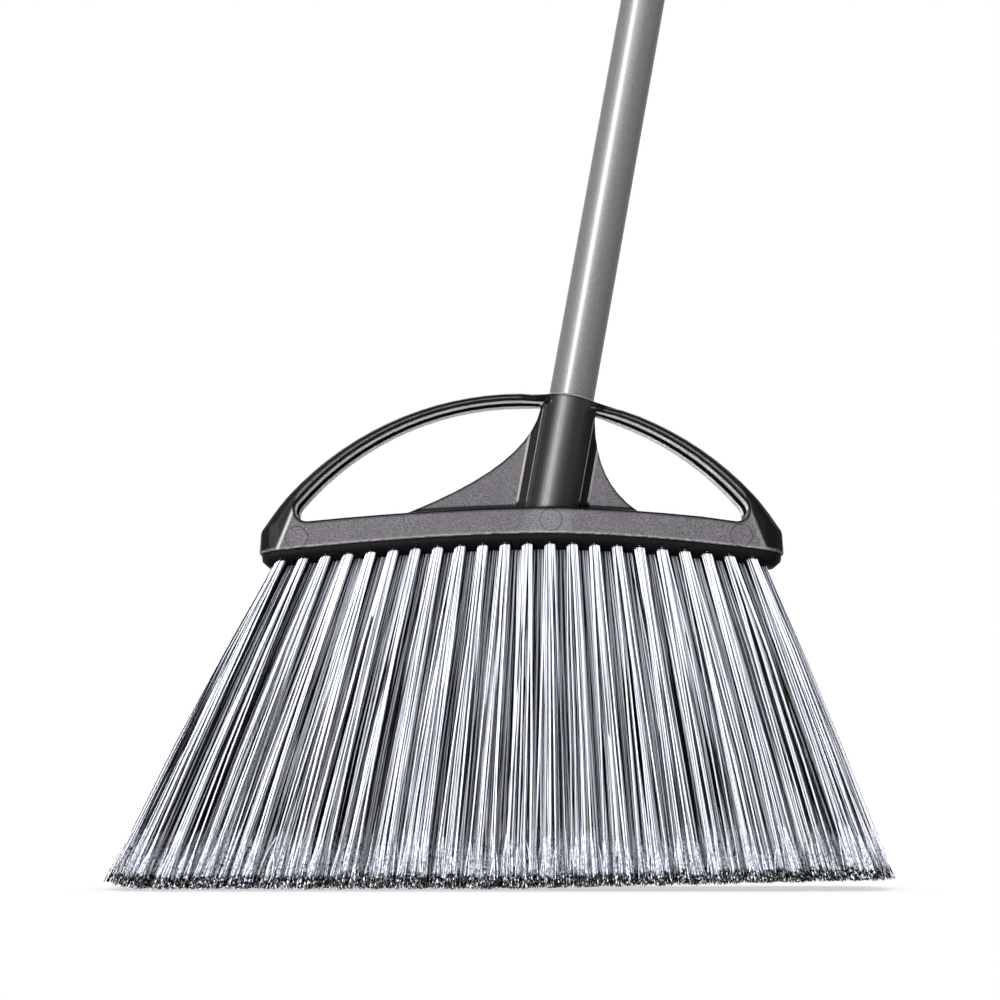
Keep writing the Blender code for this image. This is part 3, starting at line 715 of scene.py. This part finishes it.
def under_arch(points, normals):
    """Which points are on the arch's underside: over the bar, round an opening and clear of the socket."""
    lips = np.zeros(len(points))
    for x, z, half_width in ARCH_OPENINGS:
        inward = (x - points[:, 0]) * normals[:, 0] + (z - points[:, 2]) * normals[:, 2]
        lips = np.maximum(lips, (inward > 0) & (np.abs(points[:, 0] - x) < half_width))
    above_bar = points[:, 2] > underside_z(points[:, 0]) + sizes().bar_height + ARCH_OVER_BAR
    return lips * above_bar * (np.abs(normals[:, 1]) < 0.5) * (clear_of_socket(points) > 0.002)


def carve_arch(head):
    """Sink the grooves along the arch's underside, and mark each point's place across it."""
    points, normals = read_vectors(head.data, "co"), read_vectors(head.data, "normal")
    under = under_arch(points, normals)
    turned_down = np.clip((0.15 - normals[:, 2]) / 0.35, 0, 1)
    half_depth = np.zeros(ARCH_COLUMNS)
    along = (points[:, 0] - HEAD_LOW.x) / (2 * HALF_BAR)
    column = np.clip((along * (ARCH_COLUMNS - 1)).astype(int), 0, ARCH_COLUMNS - 1)
    np.maximum.at(half_depth, column, np.abs(points[:, 1]) * under)
    across = points[:, 1] / np.maximum(half_depth[column], LEAST_HALF_DEPTH)
    depth = sum(groove(across, *place) for place in ARCH_GROOVES)
    points -= normals * (depth * turned_down * under)[:, None]
    head.data.vertices.foreach_set("co", points.ravel())
    head.data.update()
    add_face_share(head, "arch_across", np.clip(across, -2, 2), "POINT")
    add_face_share(head, "arch_under", turned_down * under, "POINT")


class BROOM_OT_head(bpy.types.Operator):
    """Build the one-piece moulded head from its CAD shape, with rounded edges"""

    bl_idname = "broom.head"
    bl_label = "Moulded head"

    def execute(self, context):
        head = node_copy("broom_head", "moulded_head")
        soften(head, grid=sizes().moulding_grid, passes=4)
        soften_ends(head, passes=14)
        carve_arch(head)
        thin_out(head, kept_share=0.25)
        dress(head, moulding_material(), "head", "head_plastic", "broom_head")
        return {"FINISHED"}


class BROOM_OT_ejector_marks(bpy.types.Operator):
    """Add the witness rings that the mould's ejector pins leave on the bar's front"""

    bl_idname = "broom.ejector_marks"
    bl_label = "Ejector marks"

    # From the bar's middle and from the floor, in metres
    PLACES = ((-0.1079, 0.1653), (0.0139, 0.1739), (0.1051, 0.1664))
    RADIUS = 0.0053
    WIDTH = 0.00032
    PROUD = 0.00007

    def execute(self, context):
        rings = []
        for x, z in self.PLACES:
            bpy.ops.object.select_all(action="DESELECT")
            bpy.ops.mesh.primitive_torus_add(
                location=(BAR_MIDDLE_X + x, HEAD_LOW.y + self.PROUD, z), rotation=(math.radians(90), 0, 0),
                major_radius=self.RADIUS, minor_radius=self.WIDTH / 2, major_segments=64, minor_segments=8)
            rings.append(context.active_object)
        marks = join_pieces(rings, "ejector_marks")
        settle(marks)
        bpy.ops.object.shade_smooth()
        dress(marks, bpy.data.materials["Drilled bed"], "head", "head_plastic")
        return {"FINISHED"}


class BROOM_OT_bed(bpy.types.Operator):
    """Build the crowned bed below the bar and the rims of its drilled holes"""

    bl_idname = "broom.bed"
    bl_label = "Bristle bed"

    END_GAP = 0.0012
    CORNER_RADIUS = 0.009
    END_LIFT = 0.0033
    LEAST_DROP = 0.0003
    WALL = 0.0025
    RIM_GAP = 0.0003
    RIM_RADIUS = 0.00034
    SLOPE_STEP = 0.001

    def crowned(self, bed):
        """Bend a flat grid, 2 by 2, to the bed's rounded outline, camber and crown."""
        half_bar = HALF_BAR - self.END_GAP
        points = read_vectors(bed.data, "co")
        from_middle = np.abs(points[:, 0]) * half_bar
        past = np.maximum(from_middle - (half_bar - self.CORNER_RADIUS), 0)
        rounding = np.sqrt(np.maximum(self.CORNER_RADIUS ** 2 - past ** 2, 0))
        lift = np.maximum(self.END_LIFT - (half_bar - from_middle), 0)
        drop = np.maximum(bed_drop(points[:, 1] * BED_HALF_DEPTH) - lift, self.LEAST_DROP)
        points[:, 0] = BAR_MIDDLE_X + points[:, 0] * half_bar
        points[:, 1] *= BED_HALF_DEPTH - self.CORNER_RADIUS + rounding
        points[:, 2] = underside_z(points[:, 0]) - drop
        bed.data.vertices.foreach_set("co", points.ravel())

    def hole_rims(self, context):
        """A raised rim round each drilled hole."""
        bpy.ops.object.select_all(action="DESELECT")
        bpy.ops.mesh.primitive_torus_add(major_radius=sizes().tuft_radius + self.RIM_GAP,
                                         minor_radius=self.RIM_RADIUS, major_segments=16, minor_segments=5)
        rim = context.active_object
        step = self.SLOPE_STEP
        rims = []
        for x, y, _ in sum(tuft_rows(), []):
            copy = rim.copy()
            copy.data = rim.data.copy()
            copy.location = (x, y, underside_z(x) - bed_drop(y))
            slope = (bed_drop(y + step) - bed_drop(y - step)) / (2 * step)
            copy.rotation_euler = (-math.atan(slope), 0, 0)
            context.scene.collection.objects.link(copy)
            rims.append(copy)
        bpy.data.objects.remove(rim)
        return rims

    def execute(self, context):
        bpy.ops.object.select_all(action="DESELECT")
        bpy.ops.mesh.primitive_grid_add(x_subdivisions=180, y_subdivisions=20, size=2)
        bed = context.active_object
        self.crowned(bed)
        wall = bed.modifiers.new("Body", "SOLIDIFY")
        wall.thickness = self.WALL
        wall.offset = 1
        apply_modifiers(bed)
        bpy.ops.object.shade_smooth()
        whole = join_pieces([bed] + self.hole_rims(context), "drilled_bed")
        settle(whole)
        dress(whole, bed_material(), "head", "bristle")
        return {"FINISHED"}


def packed_places(count, radius):
    """Places inside a round hole, filled evenly from its centre."""
    golden = math.pi * (3 - math.sqrt(5))
    return [(radius * math.sqrt((i + 0.5) / count) * math.cos(golden * i),
             radius * math.sqrt((i + 0.5) / count) * math.sin(golden * i)) for i in range(count)]


def grown(share, base, gain):
    """A light that grows with a share, from its base."""
    return max(base + gain * share, 0)


class Filament:
    """One filament: its course from its hole to the floor, and how open each side of it is to the light."""

    # Lengths in metres, the rest shares. Pairs are along and across the bar, or least and most
    ROOT_DEPTH = 0.0015
    FAN_SPREAD = 1.476
    ROW_SPREAD = 1.42
    TUFT_SPREAD = (2.6, 1.9)
    FOOT_SCATTER = (0.0018, 0.0008)
    FOOT_ENDS = (-0.1955, 0.175)
    LEFT_TRIM_START = -0.179
    LEFT_TRIM_SLOPE = 0.17
    HALF_ROW = 0.121
    BULGE = 0.0012
    BOW = 0.0006
    WAVE = 0.0003
    UNEVEN_CUT = 0.0005
    SPLIT = (0.35, 1)
    BODY_RINGS = (0, 0.33, 0.68, 1)
    BODY_SCALES = (1, 1, 1, 0.82)
    RIBS = 8
    VALLEY = 0.74
    FIBRES = 5
    FIBRE_SCALES = (1, 1, 1, 0.8)
    FIBRE_RADIUS = 0.0003
    FIBRE_CORNER = 2.094
    FIBRE_RING = 0.00028
    FIBRE_OVERLAP = 0.01
    FIBRE_CUT = 0.006
    SPLAY = (0.0001, 0.0013)
    STRAY = 0.0005
    CURLY_SHARE = 0.08
    CURLY = 3
    CURL_END = 0.8
    LEAST_Z = 0.00005
    # How much light reaches a side, as shares, painted as shade. A pair named LIGHT is a base and the gain
    # over it
    TUFT_LIGHT = (0.35, 0.85)
    BRUSH_LIGHT = (0.42, 0.9)
    FIBRE_LIGHT = (0.12, 0.7)
    LOW_LIGHT = (-0.7, 1.7)
    EDGE_GAIN = 1.5
    BRIGHT_SHARE = 0.82
    BRIGHT = (0.9, 1)
    DARK = (0, 0.12)
    INNER_LIGHT = 0.62
    HIGH_VALLEY_LIGHT = 0.85
    LOW_VALLEY_LIGHT = 0.8

    def __init__(self, random, hole, place, side, inner):
        s = sizes()
        x, y, pitch_x = hole
        dx, dy = self.place = place
        self.random, self.side, self.inner = random, side, inner
        top = float(underside_z(np.array(x + dx)) - bed_drop(y + dy)) + self.ROOT_DEPTH
        centre = BAR_MIDDLE_X + s.fan_centre_x
        spread = (pitch_x - centre) * self.FAN_SPREAD + dx * self.TUFT_SPREAD[0]
        foot_x = centre + spread + random.normal(0, self.FOOT_SCATTER[0])
        from_middle = min(max(foot_x - BAR_MIDDLE_X, self.FOOT_ENDS[0]), self.FOOT_ENDS[1])
        foot_y = y * self.ROW_SPREAD + dy * self.TUFT_SPREAD[1] + random.normal(0, self.FOOT_SCATTER[1])
        trim = max((from_middle - s.trim_start) * s.trim_slope,
                   (self.LEFT_TRIM_START - from_middle) * self.LEFT_TRIM_SLOPE, 0)
        foot_z = trim + random.uniform(0, self.UNEVEN_CUT)
        self.root = (x + dx, y + dy, top)
        self.foot = (BAR_MIDDLE_X + from_middle, foot_y, foot_z)
        from_row_middle = (pitch_x - BAR_MIDDLE_X) / self.HALF_ROW
        self.bow = random.normal(0, self.BOW, 2)
        self.bow[0] += self.BULGE * from_row_middle
        self.wave = random.normal(0, self.WAVE, 2)
        self.body_end = 1 - random.uniform(*self.SPLIT) * s.split_length / (top - foot_z)
        self.turn = random.uniform(0, math.pi)
        self.shade = random.uniform(0, 1)
        self.level = random.uniform(*(self.BRIGHT if random.uniform() < self.BRIGHT_SHARE else self.DARK))
        self.end = from_row_middle ** 5

    def centre_at(self, share):
        """The middle of the filament, at a share of its length."""
        swing = math.sin(math.pi * share)
        ripple = math.sin(2 * math.pi * share)
        x, y, z = (root + (foot - root) * share for root, foot in zip(self.root, self.foot))
        x = x + self.bow[0] * swing + self.wave[0] * ripple
        y = y + self.bow[1] * swing + self.wave[1] * ripple
        return x, y, z

    def clear(self, angle):
        """How much a side faces out of the brush."""
        return self.end * math.cos(angle) + self.side * math.sin(angle)

    def openness(self, angle):
        """How open a side is to the light near the hole: one that faces into the tuft or the brush isn't."""
        dx, dy = self.place
        away = math.hypot(dx, dy)
        out = (dx * math.cos(angle) + dy * math.sin(angle)) / max(away, 0.0001)
        edge = away / (sizes().tuft_radius - sizes().filament_radius)
        tuft_share = min(grown(out, *self.TUFT_LIGHT), 1) * min(edge ** 2 * self.EDGE_GAIN, 1)
        brush_share = min(grown(self.clear(angle), *self.BRUSH_LIGHT), 1)
        return tuft_share * brush_share * (self.INNER_LIGHT if self.inner else 1)

    def body(self):
        """The ribbed strand, from the hole to where it splits."""
        section, high_lit, low_lit = [], [], []
        for rib in range(self.RIBS):
            valley = rib % 2
            angle = self.turn + math.tau * rib / self.RIBS
            radius = sizes().filament_radius * (self.VALLEY if valley else 1)
            section.append((radius * math.cos(angle), radius * math.sin(angle)))
            high_lit.append(self.openness(angle) * (self.HIGH_VALLEY_LIGHT if valley else 1))
            facing = grown(self.clear(angle), *self.LOW_LIGHT)
            low_lit.append(min(self.level * facing, 1) * (self.LOW_VALLEY_LIGHT if valley else 1))
        mixed = [(high + low) / 2 for high, low in zip(high_lit, low_lit)]
        shares = [share * self.body_end for share in self.BODY_RINGS]
        centres = [self.centre_at(share) for share in shares]
        return centres, section, self.BODY_SCALES, shares, self.shade, (high_lit, mixed, low_lit, low_lit)

    def fibre(self, number):
        """One thin fibre of the split end, splayed, drifting and curled."""
        random = self.random
        angle = self.turn + math.tau * number / self.FIBRES
        out = (math.cos(angle), math.sin(angle))
        splay = random.uniform(*self.SPLAY)
        drift = random.normal(0, self.STRAY, 2)
        curl = random.normal(0, self.STRAY, 2) * (self.CURLY if random.uniform() < self.CURLY_SHARE else 1)
        start, reach = self.body_end - self.FIBRE_OVERLAP, 1 - random.uniform(0, self.FIBRE_CUT)
        corners = [angle + k * self.FIBRE_CORNER for k in range(3)]
        radius = self.FIBRE_RADIUS
        section = [(radius * math.cos(corner), radius * math.sin(corner)) for corner in corners]
        shares, centres = [], []
        for down in (0, 1 / 3, 2 / 3, 1):
            shares.append(start + (reach - start) * down)
            x, y, z = self.centre_at(shares[-1])
            out_by = self.FIBRE_RING + splay * down ** 1.5
            curl_by = math.sin(math.pi * down * self.CURL_END)
            x += out[0] * out_by + drift[0] * down + curl[0] * curl_by
            y += out[1] * out_by + drift[1] * down + curl[1] * curl_by
            centres.append((x, y, max(z, self.LEAST_Z)))
        lit = [grown(self.level, *self.FIBRE_LIGHT)] * 3
        return centres, section, self.FIBRE_SCALES, shares, self.shade, [lit] * 4


class FilamentRow:
    """Gathers the points and faces of one row of tufts."""

    # Less light at the roots, least in the inner rows: painted shade.
    ROOT_SHARE = 0.1
    ROOT_LIGHT = 0.85
    INNER_ROOT_LIGHT = 0.65

    def __init__(self, number):
        self.random = np.random.default_rng(number)
        self.side = -1 if number < 3 else 1
        self.inner = number in (2, 3)
        self.points, self.faces = [], []
        self.foot_shares, self.outward, self.shades = [], [], []

    def add_tube(self, centres, section, scales, shares, shade, lit):
        """One strand through centres, each ring the section at its own scale, closed at both ends."""
        start, sides = len(self.points), len(section)
        root_light = self.INNER_ROOT_LIGHT if self.inner else self.ROOT_LIGHT
        for (cx, cy, cz), scale, share, ring_lit in zip(centres, scales, shares, lit):
            light = root_light if share < self.ROOT_SHARE else 1
            for (sx, sy), open_share in zip(section, ring_lit):
                self.points.append((cx + sx * scale, cy + sy * scale, cz))
                self.foot_shares.append(share)
                self.outward.append(open_share * light)
        last = len(self.points) - sides
        for high in range(start, last, sides):
            low = high + sides
            for i in range(sides):
                j = (i + 1) % sides
                self.faces.append((high + i, low + i, low + j, high + j))
        self.faces += [tuple(range(start, start + sides)), tuple(reversed(range(last, last + sides)))]
        self.shades += [shade] * (last - start + 2)

    def add_filament(self, hole, place):
        """One filament, from its place in its hole to the split fibres at its foot."""
        filament = Filament(self.random, hole, place, self.side, self.inner)
        self.add_tube(*filament.body())
        for number in range(filament.FIBRES):
            self.add_tube(*filament.fibre(number))

    def piece(self, name):
        """The whole row as one piece, with what its material reads."""
        item = mesh_piece(name, self.points, self.faces)
        add_face_share(item, "toward_foot", self.foot_shares, "POINT")
        # How much light each point gets, which the material paints as shade.
        add_face_share(item, "outward", self.outward, "POINT")
        add_face_share(item, "filament_shade", self.shades, "FACE")
        return item


class BROOM_OT_tufts(bpy.types.Operator):
    """Fill the four rows of holes with tufts of ribbed filaments"""

    bl_idname = "broom.tufts"
    bl_label = "Tufts"

    def execute(self, context):
        material = filament_material()
        slices = [node for node in frame["nodes"] if node.startswith("tuft_slice")]
        places = packed_places(FILAMENTS, sizes().tuft_radius - sizes().filament_radius)
        for number, holes in enumerate(tuft_rows(), 1):
            row = FilamentRow(number)
            for hole in holes:
                for place in places:
                    row.add_filament(hole, place)
            piece = row.piece(f"tuft_row_{number}")
            dress(piece, material, "head", "bristle", *(slices if number == 1 else ()))
        return {"FINISHED"}


class BROOM_OT_handle(bpy.types.Operator):
    """Build the painted steel tube of the handle"""

    bl_idname = "broom.handle"
    bl_label = "Handle tube"

    FOOT_OVER_TIP = 0.0026
    RIM_BEVEL = 0.0002

    def execute(self, context):
        s = sizes()
        bpy.ops.object.select_all(action="DESELECT")
        bpy.ops.mesh.primitive_cylinder_add(vertices=128, radius=s.tube_diameter / 2, depth=s.tube_length,
                                            end_fill_type="NOTHING")
        tube = context.active_object
        tube.name = "painted_tube"
        tube.matrix_world = HANDLE_FRAME @ Matrix.Translation((0, 0, self.FOOT_OVER_TIP + s.tube_length / 2))
        settle(tube)
        wall = tube.modifiers.new("Wall", "SOLIDIFY")
        wall.thickness = s.tube_wall
        wall.offset = -1
        rim = tube.modifiers.new("Rim", "BEVEL")
        rim.width = self.RIM_BEVEL
        rim.segments = 2
        apply_modifiers(tube)
        bpy.ops.object.shade_smooth_by_angle(angle=math.radians(40))
        dress(tube, paint_material(), "handle", "silver_paint", "handle_tube")
        return {"FINISHED"}


class BROOM_OT_tip(bpy.types.Operator):
    """Build the threaded tip that screws into the head"""

    bl_idname = "broom.tip"
    bl_label = "Threaded tip"

    # Radii and heights in metres, from the bore's step: core, collar and plug
    FOOT = -0.0265
    CORE = 0.0081
    OUTLINE = ((0, FOOT), (CORE - 0.0018, FOOT), (CORE, FOOT + 0.0018), (CORE, 0), (0.0111, 0.0003),
               (0.0111, 0.0023), (0.0101, 0.0023), (0.0101, 0.0297), (0.0092, 0.0306), (0, 0.0306))
    SIDES = 48
    # The ridge's profile across the thread: its height in shares, and how far it is from the ridge's middle
    ROOT = CORE - 0.0003
    CREST = 0.0095
    RIDGE = ((0, -0.0014), (1, -0.0005), (1, 0.0005), (0, 0.0014))
    THREAD_START = 0.0004
    STEPS_PER_TURN = 36
    FADE = 6

    def turned_body(self):
        """The tip's core, collar and plug, turned about the axis."""
        points, faces = [], []
        count = len(self.OUTLINE)
        for step in range(self.SIDES):
            angle = math.tau * step / self.SIDES
            points += [(r * math.cos(angle), r * math.sin(angle), z) for r, z in self.OUTLINE]
            near, far = step * count, ((step + 1) % self.SIDES) * count
            faces += [(near + i, far + i, far + i + 1, near + i + 1) for i in range(count - 1)]
        return mesh_piece("tip_body", points, faces)

    def helical_thread(self):
        """A ridge that winds up the core and fades at both ends."""
        pitch = sizes().thread_pitch
        turns = (-self.FOOT - pitch) / pitch
        steps = int(turns * self.STEPS_PER_TURN)
        points = []
        for step in range(steps + 1):
            angle = math.tau * turns * step / steps
            height = self.FOOT + 0.5 * pitch + self.THREAD_START + pitch * turns * step / steps
            fade = max(min(1, self.FADE * step / steps, self.FADE * (steps - step) / steps), 0.02)
            for share, across in self.RIDGE:
                radius = self.ROOT + (self.CREST - self.ROOT) * fade * share
                points.append((radius * math.cos(angle), radius * math.sin(angle), height + across))
        faces = [(0, 1, 2, 3), tuple(len(points) - 1 - i for i in range(4))]
        for ring in range(steps):
            for i in range(4):
                j = (i + 1) % 4
                faces.append((4 * ring + i, 4 * ring + 4 + i, 4 * ring + 4 + j, 4 * ring + j))
        return mesh_piece("tip_thread", points, faces)

    def execute(self, context):
        tip = join_pieces([self.turned_body(), self.helical_thread()], "screw_tip")
        tip.data.transform(HANDLE_FRAME)
        merge_points(tip, 0.000001)
        bpy.ops.object.shade_smooth_by_angle(angle=math.radians(35))
        dress(tip, fitting_material(), "screw", "black_plastic", "threaded_tip")
        return {"FINISHED"}


class BROOM_OT_cap(bpy.types.Operator):
    """Build the hang cap from its CAD shape, with rounded edges"""

    bl_idname = "broom.cap"
    bl_label = "Hang cap"

    def execute(self, context):
        cap = node_copy("hang_cap", "rounded_hang_cap")
        soften(cap, grid=0.0003, passes=4)
        thin_out(cap, kept_share=0.35)
        dress(cap, bpy.data.materials["Black fitting"], "handle", "black_plastic", "hang_cap")
        return {"FINISHED"}


# Azimuth and elevation in degrees, distance, width and height in metres, and the lamp's own brightness
LAMPS = {
    "left_strip": (-32, 12, 2.0, 0.42, 1.5, 28),
    "front_box": (4, 20, 2.6, 1.6, 1.0, 5.4),
    "gloss_strip": (-31, 10, 1.8, 0.42, 1.4, 60),
    "right_box": (75, 20, 2.4, 0.6, 1.8, 1),
    "back_box": (180, 30, 3.0, 2.0, 1.5, 3),
}
LAMP_AIM = Vector((BAR_MIDDLE_X, 0, 0.2))
CAMERA_PLACE = (BAR_MIDDLE_X - 0.01046, -0.8889, 0.0451)
CAMERA_TILT = 99
CAMERA_LENS = 66.26


def add_lamp(name, azimuth, elevation, distance, width, height, level):
    """A soft box aimed at the head."""
    data = bpy.data.lights.new(name, "AREA")
    data.shape = "RECTANGLE"
    data.size = width
    data.size_y = height
    data.energy = level * math.pi * width * height
    lamp = new_object(name, data)
    a, e = math.radians(azimuth), math.radians(elevation)
    back = Vector((math.sin(a) * math.cos(e), -math.cos(a) * math.cos(e), math.sin(e)))
    lamp.location = LAMP_AIM + back * distance
    lamp.rotation_euler = (-back).to_track_quat("-Z", "Y").to_euler()
    lamp.visible_diffuse = name != "gloss_strip"


def add_camera():
    """The camera that took the photograph: close, low and tilted up."""
    data = bpy.data.cameras.new("camera")
    data.lens = CAMERA_LENS
    data.sensor_width = 36
    data.clip_start = 0.01
    camera = new_object("camera", data)
    camera.location = CAMERA_PLACE
    camera.rotation_euler = (math.radians(CAMERA_TILT), 0, 0)
    bpy.context.scene.camera = camera


def empty_tree(owner):
    """The node tree of a world or a material, with nothing in it."""
    owner.use_nodes = True
    owner.node_tree.nodes.clear()
    return Tree(owner.node_tree)


def white_world():
    """White where the camera and clear reflections look, softer where it lights the broom."""
    world = bpy.data.worlds.new("Studio")
    bpy.context.scene.world = world
    tree = empty_tree(world)
    light, white = tree.add("ShaderNodeBackground"), tree.add("ShaderNodeBackground")
    tree.fill(light.inputs, {"Color": (0.9, 0.93, 1), "Strength": 0.1})
    tree.fill(white.inputs, {"Color": (1, 1, 1), "Strength": 1})
    tree.finish("ShaderNodeOutputWorld", tree.background_rays(), light, white)


def floor_material():
    """White paper that shows only the soft shade below the broom."""
    material = bpy.data.materials.new("White floor")
    tree = empty_tree(material)
    shade = tree.add("ShaderNodeAmbientOcclusion", samples=8)
    tree.put(0.035, shade.inputs["Distance"])
    glow = tree.add("ShaderNodeEmission")
    tree.put(tree.ramp(shade.outputs["AO"], 0.42, 0.9, 0.62, 1, "LINEAR"), glow.inputs["Strength"])
    paper = tree.add("ShaderNodeBsdfDiffuse")
    tree.put((0.8, 0.8, 0.8), paper.inputs["Color"])
    tree.finish("ShaderNodeOutputMaterial", tree.background_rays(), paper, glow)
    return material


class BROOM_OT_stage(bpy.types.Operator):
    """Add the floor, the lamps, the white surround and the camera"""

    bl_idname = "broom.stage"
    bl_label = "Studio"

    def execute(self, context):
        context.scene.view_settings.view_transform = "Standard"
        bpy.ops.object.select_all(action="DESELECT")
        bpy.ops.mesh.primitive_plane_add(size=60, location=(0, 0, -0.0003))
        floor = context.active_object
        floor.name = "floor"
        floor.data.materials.append(floor_material())
        white_world()
        for name, settings in LAMPS.items():
            add_lamp(name, *settings)
        add_camera()
        return {"FINISHED"}


class BROOM_PT_panel(bpy.types.Panel):
    """Lists the broom's pieces in the sidebar."""

    bl_idname = "BROOM_PT_panel"
    bl_label = "Angle broom"
    bl_space_type = "VIEW_3D"
    bl_region_type = "UI"
    bl_category = "Broom"

    def draw(self, context):
        for group in (context.scene.broom_sizes, context.scene.broom_colours):
            for name in group.__annotations__:
                self.layout.prop(group, name)
        for operator in PIECES:
            self.layout.operator(operator.bl_idname)


PIECES = (BROOM_OT_head, BROOM_OT_bed, BROOM_OT_ejector_marks, BROOM_OT_tufts, BROOM_OT_handle, BROOM_OT_tip,
          BROOM_OT_cap, BROOM_OT_stage)
CLASSES = (BroomSizes, BroomColours) + PIECES + (BROOM_PT_panel,)


def register():
    for item in CLASSES:
        bpy.utils.register_class(item)
    bpy.types.Scene.broom_sizes = bpy.props.PointerProperty(type=BroomSizes)
    bpy.types.Scene.broom_colours = bpy.props.PointerProperty(type=BroomColours)


def unregister():
    del bpy.types.Scene.broom_colours
    del bpy.types.Scene.broom_sizes
    for item in reversed(CLASSES):
        bpy.utils.unregister_class(item)


def main():
    register()
    bpy.ops.broom.head()
    bpy.ops.broom.bed()
    bpy.ops.broom.ejector_marks()
    bpy.ops.broom.tufts()
    bpy.ops.broom.handle()
    bpy.ops.broom.tip()
    bpy.ops.broom.cap()
    bpy.ops.broom.stage()


if __name__ == "__main__":
    main()
